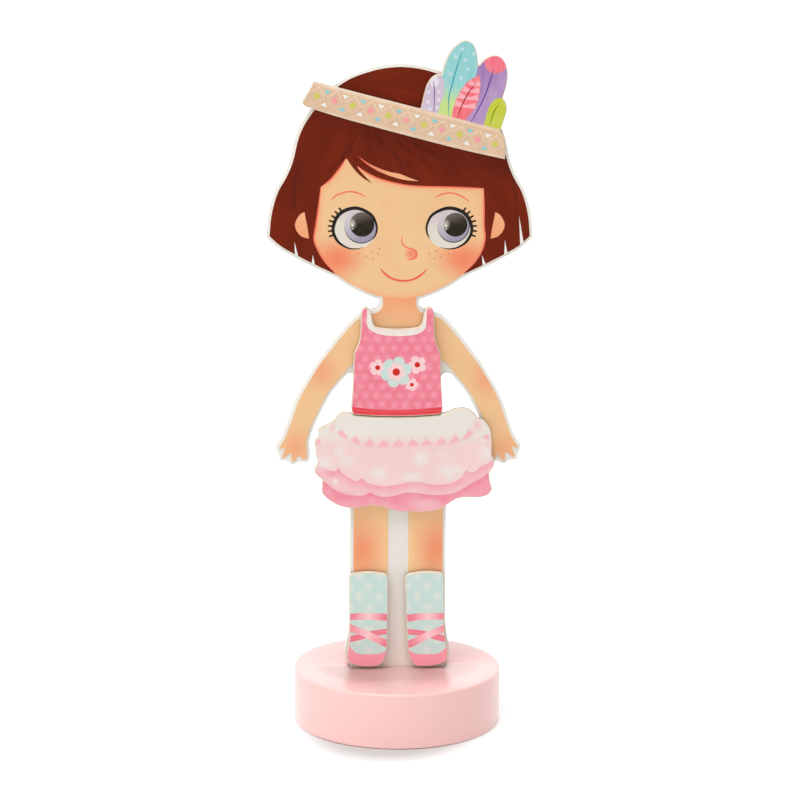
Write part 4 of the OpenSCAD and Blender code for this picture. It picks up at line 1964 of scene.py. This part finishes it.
@dataclass(frozen=True)
class Feather:
    """The shape of a round feather, in the band's own frame."""

    place: float
    lean: float
    height: float
    wide: float
    foot: float
    sink: float = 3.0
    waist: float = 0.62
    steps: int = 22

    def width(self, share: float) -> float:
        """Gives the width at a share of the height."""
        if share < self.waist:
            return self.wide - (self.wide - self.foot) * (1 - share / self.waist) ** 2
        return self.wide * math.sqrt(max(1 - ((share - self.waist) / (1 - self.waist)) ** 2, 0.0))

    def side_line(self, sign: int, half_band: float) -> Outline:
        """Gives one side of the feather.

        Args:
            sign: The sign of the side.
            half_band: Half the band's height.

        Returns:
            The side's points from the foot to the tip.
        """
        points = []
        for i in range(self.steps + 1):
            share = math.sin(RIGHT_ANGLE * i / self.steps)
            rise = half_band - self.sink + share * (self.height + self.sink)
            points.append((self.place + self.lean * share + sign * self.width(share) / 2, rise))
        return points


@dataclass(frozen=True)
class Headband(Garment):
    """A woven band with five feathers."""

    middle: Point = (1.5, 218.9)
    slope: float = 14.2
    height: float = 10.2
    overrun: float = 45.0
    border: float = 1.15
    quill_width: float = 0.42
    ornament: Point = (0.25, 0.1)
    ornament_slope: float = 15.0
    cells: int = 11

    def at(self, along: float, rise: float) -> Point:
        """Turns a point of the band's own frame into the picture's."""
        turn = math.radians(self.slope)
        x = self.middle[0] + along * math.cos(turn) + rise * math.sin(turn)
        return (x, self.middle[1] - along * math.sin(turn) + rise * math.cos(turn))

    def strip(self, low: float, high: float) -> Outline:
        """Draws a strip along the whole band."""
        return [self.at(*corner) for corner in rectangle(-self.overrun, low, self.overrun, high)]

    def rounded(self, *sizes: float) -> Outline:
        """Draws a round feather that grows out of the band, from the feather's sizes."""
        feather, half = Feather(*sizes), self.height / 2
        return [self.at(*p) for p in feather.side_line(-1, half) + feather.side_line(1, half)[-2::-1]]

    def weave(self) -> PrintFinish:
        """Mixes the band, with a mottled weave."""
        return PrintFinish("band_ink", (
            SoftDots(self.middle, (0.9, 0.9), 0.55, Ink.BAND_EDGE, 0.35),
            Brushwork((5.0, 3.0), Ink.BAND_LINE, 0.35),
        ))

    def plumage(self) -> PrintFinish:
        """Mixes the feathers, with fine barbs."""
        return PrintFinish("feather_ink", (
            Streaks((22.0, 190.0), 40.0, Ink.SNOW, 0.07),
            Brushwork((2.5, 5.0), Ink.SNOW, 0.07),
        ))

    def ground(self) -> tuple[Paint, PrintFinish]:
        """Gives the tan band."""
        return (Ink.BAND, self.weave())

    def quill(self, ink: Ink, *points: Point) -> Area:
        """Draws a feather's quill."""
        return line(points, ink, self.quill_width)

    def areas(self) -> list[Area]:
        """Draws the feathers, then the band over their feet.

        Returns:
            The areas, from the back to the front.
        """
        plumage, weave, half = self.plumage(), self.weave(), self.height / 2
        purple = Fade(Ink.PURPLE, Ink.PURPLE_PALE, (25, 232), (30, 226))
        green = Fade(Ink.LEAF, Ink.TEAL, (16.5, 224.5), (17.8, 231.5))
        strips = (
            (-half - 4, half, Ink.BAND),
            (half - self.border, half, Ink.BAND_EDGE),
            (-half - 1, self.border - half, Ink.BAND_EDGE),
        )
        return [
            Area(self.rounded(24.5, 0.9, 24.6, 12.2, 6.4), purple, plumage),
            Area(disc((32.9, 239.3), 4.1), Ink.CORAL_TIP, plumage),
            self.quill(
                Ink.PURPLE_DARK, (32.2, 236.7), (30.9, 232.6), (29.1, 227.4), (26.7, 222.4), (24.2, 217.9),
            ),
            Area(self.rounded(13.9, 0.3, 27.0, 11.6, 6.0), green, plumage),
            self.quill(
                Ink.TEAL_DARK, (21.5, 243.9), (19.3, 237.3), (17.6, 231.1), (16.6, 226.7), (16.6, 220.1),
            ),
            Area(self.rounded(7.3, 0.0, 13.2, 6.4, 5.8), Ink.LILAC, plumage),
            Area(ellipse((11.6, 232.4), 1.5, 2.0), Ink.LILAC_DOT, plumage),
            self.quill(Ink.LILAC_DARK, (11.2, 232.6), (11.5, 228.6), (11.4, 221.3)),
            *self.striped(plumage),
            self.quill(Ink.RED_DARK, (26.1, 232.0), (23.5, 228.6), (21.1, 223.9), (19.5, 219.3)),
            Area(self.rounded(29.9, 0.6, 10.7, 6.5, 5.8), Ink.LIME, plumage),
            self.quill(Ink.LEAF_DARK, (34.1, 224.3), (32.4, 221.9), (31.0, 216.8)),
            *(Area(self.strip(low, high), ink, weave) for low, high, ink in strips),
        ]

    @staticmethod
    def striped(plumage: PrintFinish) -> list[Area]:
        """Draws the pointed feather with its pale cross stripes.

        Args:
            plumage: The feathers' finish.

        Returns:
            The areas, from the back to the front.
        """
        left_side = [
            (17.4, 217.6), (17.9, 222.0), (18.6, 224.6), (19.8, 227.6),
            (21.6, 230.6), (23.8, 232.9), (27.1, 234.6),
        ]
        right_side = [
            (27.1, 234.6), (27.6, 232.2), (27.3, 228.6), (26.5, 225.1),
            (25.0, 222.0), (23.2, 220.0), (21.8, 216.6),
        ]
        drawn = [Area(cornered(left_side, right_side), Ink.RED, plumage)]
        ends = (
            ((18.9, 225.0), (26.0, 224.0)), ((20.0, 227.7), (26.9, 226.9)),
            ((21.5, 230.1), (27.2, 229.4)), ((23.6, 232.3), (27.3, 231.8)),
        )
        for left, right in ends:
            middle = ((left[0] + right[0]) / 2, (left[1] + right[1]) / 2 - 0.7)
            drawn.append(line([left, middle, right], Ink.RED_PALE, 2.1, 1.0, 2.1, finish=plumage))
        return drawn

    def marks(self, level: float) -> None:
        """Adds the band's ornament and the feathers' dots.

        Args:
            level: The y of the print's front, in metres.
        """
        lengths = {
            "Pitch": 6.45, "Cell Height": 6.3, "Line": 0.58, "Diamond": 1.28, "Triangle": 1.12,
            "Triangle Rise": 2.35, "Thickness": MARK_THICKNESS,
        }
        mesh = band_cells_tree().grow({
            "Count": self.cells, **in_metres(lengths),
            "Lattice": SpotFinish("lattice_ink", Ink.BAND_EDGE, Ink.BAND),
            "Even Diamond": SpotFinish("lime_ink", Ink.BAND_LIME, Ink.LIME),
            "Odd Diamond": SpotFinish("rose_ink", Ink.ROSE, Ink.RED_PALE),
            "Even Triangle": SpotFinish("sky_ink", Ink.SKY, Ink.TEAL),
            "Odd Triangle": SpotFinish("snow_ink", Ink.SNOW, Ink.CREAM),
        })
        place = Matrix.Translation(in_frame(self.at(*self.ornament), level))
        mesh.transform(place @ Matrix.Rotation(math.radians(self.ornament_slope), 4, "Y"))
        piece("band_ornament", mesh, self.body, self.slot)
        teal = (
            (18.8, 241.0), (22.3, 239.9), (25.2, 242.1), (23.2, 236.7),
            (17.1, 235.0), (20.8, 233.6), (21.0, 243.6),
        )
        lilac = ((9.5, 228.8), (13.1, 228.8), (9.3, 225.3), (13.0, 226.0), (10.0, 222.9), (12.6, 223.4))
        rows = (
            ("teal", teal, 0.72, Ink.TEAL_DOT, Ink.TEAL),
            ("lilac", lilac, 0.66, Ink.LILAC_DOT, Ink.LILAC),
        )
        for name, points, radius, ink, deeper in rows:
            dot = SpotFinish(f"{name}_dot_ink", ink, deeper)
            spots(f"{name}_feather_dots", points, radius, dot, level, self.body, self.slot)


@dataclass(frozen=True)
class Top(Garment):
    """A dotted top with a pale neck trim, a red hem and flowers on the chest."""

    motif: Point = (-0.6, 129.7)

    def ground(self) -> tuple[Paint, PrintFinish]:
        """Gives the pink, with pale dots in staggered rows."""
        return (Ink.TOP_PINK, PrintFinish("top_ink", (
            SoftDots((-3.9, 141.6), (4.1, 6.8), 1.9, Ink.TOP_DOT, 0.62),
            Brushwork((4.0, 4.0), Ink.TOP_DOT, 0.22),
        )))

    def areas(self) -> list[Area]:
        """Draws the trim, the hem and the flowers.

        Returns:
            The areas, from the back to the front.
        """
        trim = curve([
            (-11.6, 152.4), (-11.7, 147.0), (-10.4, 144.9), (-7.0, 143.2), (-0.6, 142.6),
            (5.7, 143.2), (8.8, 145.1), (9.3, 147.3), (9.5, 151.8),
        ])
        hem = curve([
            (-20.0, 117.4), (-16.9, 117.1), (-9.5, 116.3), (-2.1, 116.0),
            (6.0, 116.2), (15.5, 117.0), (19.0, 117.4),
        ])
        shade = curve([(-20.0, 115.6), (-9.5, 114.9), (-2.1, 114.6), (6.0, 114.8), (19.0, 115.6)])
        hem_fade = Fade(Ink.TOP_RED_DARK, Ink.TOP_RED, (0, 117), (0, 115.6))
        drawn = [
            Area([*trim, (9.5, 158.0), (-11.6, 158.0)], Ink.CREAM, CLOTH_INK),
            Area([*hem, (19.0, 108.0), (-20.0, 108.0)], hem_fade),
            line(shade, Ink.TOP_RED_DARK, 0.35),
        ]
        x, z = self.motif
        for dx, dz, radius, turn in ((-7.2, 1.6, 3.0, 10.0), (6.9, 2.6, 3.3, 40.0), (5.0, -4.6, 2.3, 70.0)):
            place = (x + dx, z + dz)
            drawn.append(Area(flower(place, radius, 5, 0.34, turn), Ink.RIBBON_LIGHT, CLOTH_INK))
            drawn.append(Area(disc(place, radius * 0.3, 18), Ink.CHERRY))
        place = (x - 0.6, z)
        drawn.append(Area(flower(place, 5.6, 6, 0.3, 15.0), Ink.MINT, CLOTH_INK))
        drawn.append(Area(flower(place, 3.2, 6, 0.3, 45.0), Ink.RIBBON_LIGHT, CLOTH_INK))
        drawn.append(Area(disc(place, 1.35, 24), Ink.CHERRY))
        return drawn


@dataclass(frozen=True)
class Skirt(Garment):
    """A ruffled skirt in three tiers under a smooth cream yoke."""

    ruffle_edge: tuple[Point, ...] = (
        (-36.0, 99.0), (-28.9, 96.1), (-26.1, 94.7), (-23.2, 93.8), (-21.5, 94.7), (-20.3, 93.0),
        (-17.9, 91.4), (-15.1, 90.0), (-13.4, 91.1), (-11.7, 89.6), (-8.8, 88.6), (-4.5, 88.2),
        (-1.2, 88.6), (1.7, 89.1), (5.1, 89.8), (8.4, 89.4), (11.8, 88.7), (15.2, 88.6),
        (18.1, 88.9), (20.4, 89.8), (22.4, 91.3), (24.0, 93.9), (25.2, 93.1), (27.1, 93.3),
        (30.0, 95.5), (32.4, 96.7), (34.1, 98.2), (38.0, 100.0),
    )
    flounce_edge: tuple[Point, ...] = (
        (-36.0, 96.5), (-30.1, 93.9), (-27.5, 90.7), (-25.1, 88.7), (-22.2, 86.5), (-18.9, 85.1),
        (-15.0, 84.7), (-12.2, 84.9), (-10.3, 85.8), (-8.3, 84.9), (-5.5, 84.3), (-1.6, 84.6),
        (1.7, 85.6), (4.1, 85.8), (8.0, 85.3), (11.8, 84.8), (15.7, 84.8), (19.5, 85.5),
        (22.4, 86.7), (25.8, 88.9), (29.1, 90.6), (32.0, 92.8), (38.0, 96.0),
    )
    pale: tuple[SpotRow, ...] = (
        ((-21.3, 100.9), (3.0, 3.0), 0.6), ((-18.7, 97.5), (4.6, 3.4), 0.5),
        ((7.9, 98.1), (4.4, 4.0), 0.8), ((-7.4, 92.8), (4.4, 3.6), 0.75),
        ((4.6, 91.5), (6.5, 3.0), 0.6), ((18.6, 93.4), (8.0, 4.6), 0.65),
        ((31.4, 100.2), (4.8, 6.0), 0.6), ((-27.0, 96.5), (5.4, 4.4), 0.6),
        ((15.5, 99.7), (4.2, 3.2), 0.3), ((-22.7, 89.9), (1.6, 1.9), 0.75),
    )
    creases: tuple[SpotRow, ...] = (
        ((-23.9, 109.7), (1.7, 3.4), 0.5), ((-28.9, 104.6), (1.7, 1.9), 0.9),
        ((27.9, 110.2), (2.7, 3.8), 0.6), ((31.3, 106.0), (2.1, 1.5), 1.0),
        ((31.8, 103.4), (1.3, 1.8), 0.5), ((20.5, 92.5), (2.0, 1.6), 0.3),
    )
    folds: tuple[SpotRow, ...] = (
        ((-0.6, 82.6), (4.2, 3.0), 0.6), ((-20.5, 84.4), (6.5, 3.0), 0.6),
        ((17.2, 83.4), (4.0, 2.8), 0.6), ((-10.4, 85.0), (2.2, 1.6), 0.6),
        ((28.0, 89.5), (3.0, 2.4), 0.3), ((-24.0, 92.6), (2.6, 1.2), 0.4),
    )

    def ruffles(self) -> PrintFinish:
        """Mixes the ruffles, with watercolour folds and pale dots.

        Returns:
            The finish.
        """
        return PrintFinish("skirt_ink", (
            Brushwork((4.2, 7.0), Ink.SKIRT_CREAM, 0.14),
            SoftSpot((10.0, 81.2), (7.5, 3.2), Ink.RUFFLE, 0.7),
            *soft_spots(Ink.WHITE, self.pale),
            *soft_spots(Ink.SKIRT_MARK, self.creases),
            *soft_spots(Ink.FLOUNCE_SHADE, self.folds),
            Gathers((2.2, 103.1), 5.02, 3.3, 0.000013, 25.0, Ink.SKIRT_MARK, 0.9),
        ))

    def ground(self) -> tuple[Paint, PrintFinish]:
        """Gives the pale main ruffle under a cream yoke."""
        return (Fade(Ink.SKIRT_CREAM, Ink.SKIRT_PALE, (0, 107.0), (0, 103.0)), self.ruffles())

    def areas(self) -> list[Area]:
        """Draws the two lower tiers.

        Returns:
            The areas, from the back to the front.
        """
        drawn = []
        tiers = (
            (self.ruffle_edge, Ink.RUFFLE_SHADE, Ink.RUFFLE, 3.2),
            (self.flounce_edge, Ink.FLOUNCE_SHADE, Ink.FLOUNCE, 3.0),
        )
        for edge, near, far, depth in tiers:
            rim = curve(edge)
            outline = [*rim, (40.0, 70.0), (-40.0, 70.0)]
            drawn.append(Area(outline, EdgeFade(near, far, tuple(rim), depth), self.ruffles()))
        return drawn


@dataclass(frozen=True)
class Shoe(Garment):
    """A dotted sock in a ballet shoe with crossed ribbons."""

    side: Side

    @property
    def slot(self) -> str:
        """The record's slot of both shoes' prints."""
        return "shoe_print"

    @property
    def magnets(self) -> tuple[str, ...]:
        """The shoe's one magnet."""
        return (f"{self.body}_magnet",)

    def ground(self) -> tuple[Paint, PrintFinish]:
        """Gives the mint, with pale dots in staggered rows."""
        return (Ink.MINT, PrintFinish(f"{self.body}_sock_ink", (
            SoftDots((self.side.value * 10.5, 51.1), (7.2, 8.0), 2.4, Ink.MINT_DOT, 0.8),
            Brushwork((5.0, 5.0), Ink.MINT_DOT, 0.15),
        )))

    def placed(self, points: Path) -> Outline:
        """Mirrors points that are drawn for the left shoe."""
        return list(points) if self.side is Side.LEFT else [(0.2 - x, z - 0.2) for x, z in points]

    def ribbon(self, top: Path, low: Path, ends: Ink, middle: Ink) -> list[Area]:
        """Draws a ribbon whose middle may be lighter than its ends.

        Args:
            top: The ribbon's upper edge.
            low: Its lower edge, in the same direction.
            ends: The ink at its ends.
            middle: The ink at its middle.

        Returns:
            The ribbon's two halves.
        """
        upper, lower = curve(self.placed(top)), curve(self.placed(low))
        half, near = len(upper) // 2, len(upper) // 6
        first = Fade(ends, middle, upper[near], upper[half])
        second = Fade(middle, ends, upper[half], upper[-1 - near])
        return [
            Area([*upper[:half + 1], *lower[half::-1]], first, SATIN_INK),
            Area([*upper[half:], *lower[:half - 1:-1]], second, SATIN_INK),
        ]

    def areas(self) -> list[Area]:
        """Draws the shoe, its toe and its ribbons.

        Returns:
            The areas, from the back to the front.
        """
        shoe = self.placed([(-24.0, 29.6), (2.0, 29.2), (2.0, 15.0), (-24.0, 15.0)])
        toe = self.placed(curve([
            (-17.2, 29.3), (-14.4, 30.7), (-11.3, 31.5), (-7.8, 30.2), (-4.0, 28.3), (-4.6, 26.8),
            (-6.6, 25.9), (-10.4, 25.7), (-14.4, 26.0), (-16.6, 27.5),
        ], closed=True))
        under = (
            [(-21.0, 31.6), (-14.7, 33.3), (-10.4, 34.3), (-7.0, 34.9), (0.0, 35.8)],
            [(-21.0, 29.4), (-14.4, 30.9), (-10.4, 32.0), (-7.0, 32.7), (0.0, 33.9)],
        )
        over = (
            [
                (-21.0, 38.2), (-17.5, 37.2), (-14.2, 35.8), (-10.4, 34.2),
                (-6.6, 32.3), (-3.9, 31.1), (0.0, 29.6),
            ],
            [
                (-21.0, 34.8), (-17.5, 34.1), (-14.2, 33.1), (-10.4, 31.2),
                (-6.6, 29.3), (-3.9, 28.1), (0.0, 26.8),
            ],
        )
        around = (
            [(-21.0, 40.5), (-14.2, 41.2), (-10.7, 41.2), (-7.2, 41.1), (0.0, 40.3)],
            [(-21.0, 38.6), (-14.2, 38.7), (-10.7, 38.7), (-7.2, 38.5), (0.0, 37.6)],
        )
        return [
            Area(shoe, Ink.RIBBON_DEEP, SATIN_INK),
            *self.ribbon(*under, Ink.RIBBON, Ink.RIBBON),
            Area(toe, *self.ground()),
            *self.ribbon(*over, Ink.RIBBON, Ink.RIBBON_LIGHT),
            *self.ribbon(*around, Ink.RIBBON, Ink.RIBBON_LIGHT),
        ]


@dataclass(frozen=True)
class Lamp:
    """A square soft light, with its place and the length of its sides in metres and its power in watts."""

    name: str
    place: Place
    size: float
    power: float

    def hang(self, target: Vector) -> None:
        """Hangs the light so that it faces a target."""
        lamp = bpy.data.lights.new(self.name, "AREA")
        lamp.size = self.size
        lamp.energy = self.power
        made = linked(self.name, lamp)
        made.location = self.place
        made.rotation_euler = (target - Vector(self.place)).to_track_quat("-Z", "Y").to_euler()


@dataclass(frozen=True)
class Studio:
    """A pale floor with a painted shadow and glow around the stand, soft light and the camera."""

    camera: Place = (-47.573, -907.754, 294.6)
    aim: Place = (0.218, -5.830, 119.529)
    roll: float = 0.36
    lens: float = 116.28
    sensor: float = 36.0
    sight: float = 60.0
    floor_r: float = 14.0
    floor_sides: int = 96
    floor_gap: float = 0.05
    sky: float = 0.37
    sheen: float = 1.1
    chest: Place = (0.0, 0.0, 0.12)
    lamps: tuple[Lamp, ...] = (
        Lamp("key", (-2.2, -1.5, 1.3), 1.8, 13.6),
        Lamp("fill", (1.9, -1.8, 0.5), 2.2, 5.2),
        Lamp("overhead", (-0.45, -0.85, 2.6), 1.6, 50.0),
        Lamp("side", (-2.2, 0.1, 0.6), 1.6, 4.5),
        Lamp("back", (0.1, 0.8, 2.4), 0.9, 14.0),
    )
    # The floor's painted shadow in front of the stand, under a painted glow that only the camera sees.
    paint: FloorFinish = FloorFinish(
        "floor_painted_shadow", Ink.FLOOR, Ink.SNOW, middle=(-0.004, -0.020, 0.0), near=0.0195, far=0.0365, camera_glow=0.5,
    )

    def build(self) -> None:
        """Builds the floor, the lights and the camera."""
        self.floor()
        for lamp in self.lamps:
            lamp.hang(Vector(self.chest))
        scene = bpy.context.scene
        scene.world = self.backdrop()
        scene.view_settings.view_transform = "Standard"
        scene.view_settings.look = "None"
        scene.camera = self.place_camera()

    def backdrop(self) -> bpy.types.World:
        """Makes the soft light all around, which the camera sees as white.

        Returns:
            The world.
        """
        world = bpy.data.worlds.new("studio")
        world.use_nodes = True
        wires = Wiring(world.node_tree)
        bounced = wires.add("ShaderNodeLightPath", {}, "Is Diffuse Ray")
        strength = wires.ramp(bounced, 0.0, 1.0, self.sheen, self.sky)
        background = world.node_tree.nodes["Background"]
        wires.feed(background.inputs, {"Color": PURE_WHITE, "Strength": strength})
        return world

    def floor(self) -> None:
        """Lays the floor just under the stand."""
        shape = bmesh.new()
        bmesh.ops.create_circle(shape, cap_ends=True, segments=self.floor_sides, radius=self.floor_r)
        bmesh.ops.translate(shape, verts=shape.verts, vec=(0.0, 0.0, -self.floor_gap * MM))
        mesh = as_mesh("floor", shape)
        dress(mesh, self.paint)
        linked("floor", mesh)

    def place_camera(self) -> Object:
        """Sets up the camera at the photograph's angle.

        Returns:
            The camera.
        """
        lens = bpy.data.cameras.new("camera")
        lens.lens = self.lens
        lens.sensor_width = self.sensor
        lens.clip_end = self.sight
        made = linked("camera", lens)
        ahead = (Vector(self.aim) - Vector(self.camera)).normalized()
        level = ahead.cross(Vector((0.0, 0.0, 1.0))).normalized()
        upright = level.cross(ahead)
        turn = math.radians(self.roll)
        right = level * math.cos(turn) + upright * math.sin(turn)
        up = upright * math.cos(turn) - level * math.sin(turn)
        axes = Matrix((right, up, -ahead)).transposed().to_4x4()
        made.matrix_world = Matrix.Translation(Vector(self.camera) * MM) @ axes
        return made


def main() -> None:
    """Builds the doll, its clothes and the studio."""
    logging.basicConfig(level=logging.INFO, format="%(message)s")
    Stand().build()
    Doll().build()
    Headband("headband").build()
    Top("top").build()
    Skirt("skirt").build()
    Shoe("left_shoe", Side.LEFT).build()
    Shoe("right_shoe", Side.RIGHT).build()
    Studio().build()


if __name__ == "__main__":
    main()
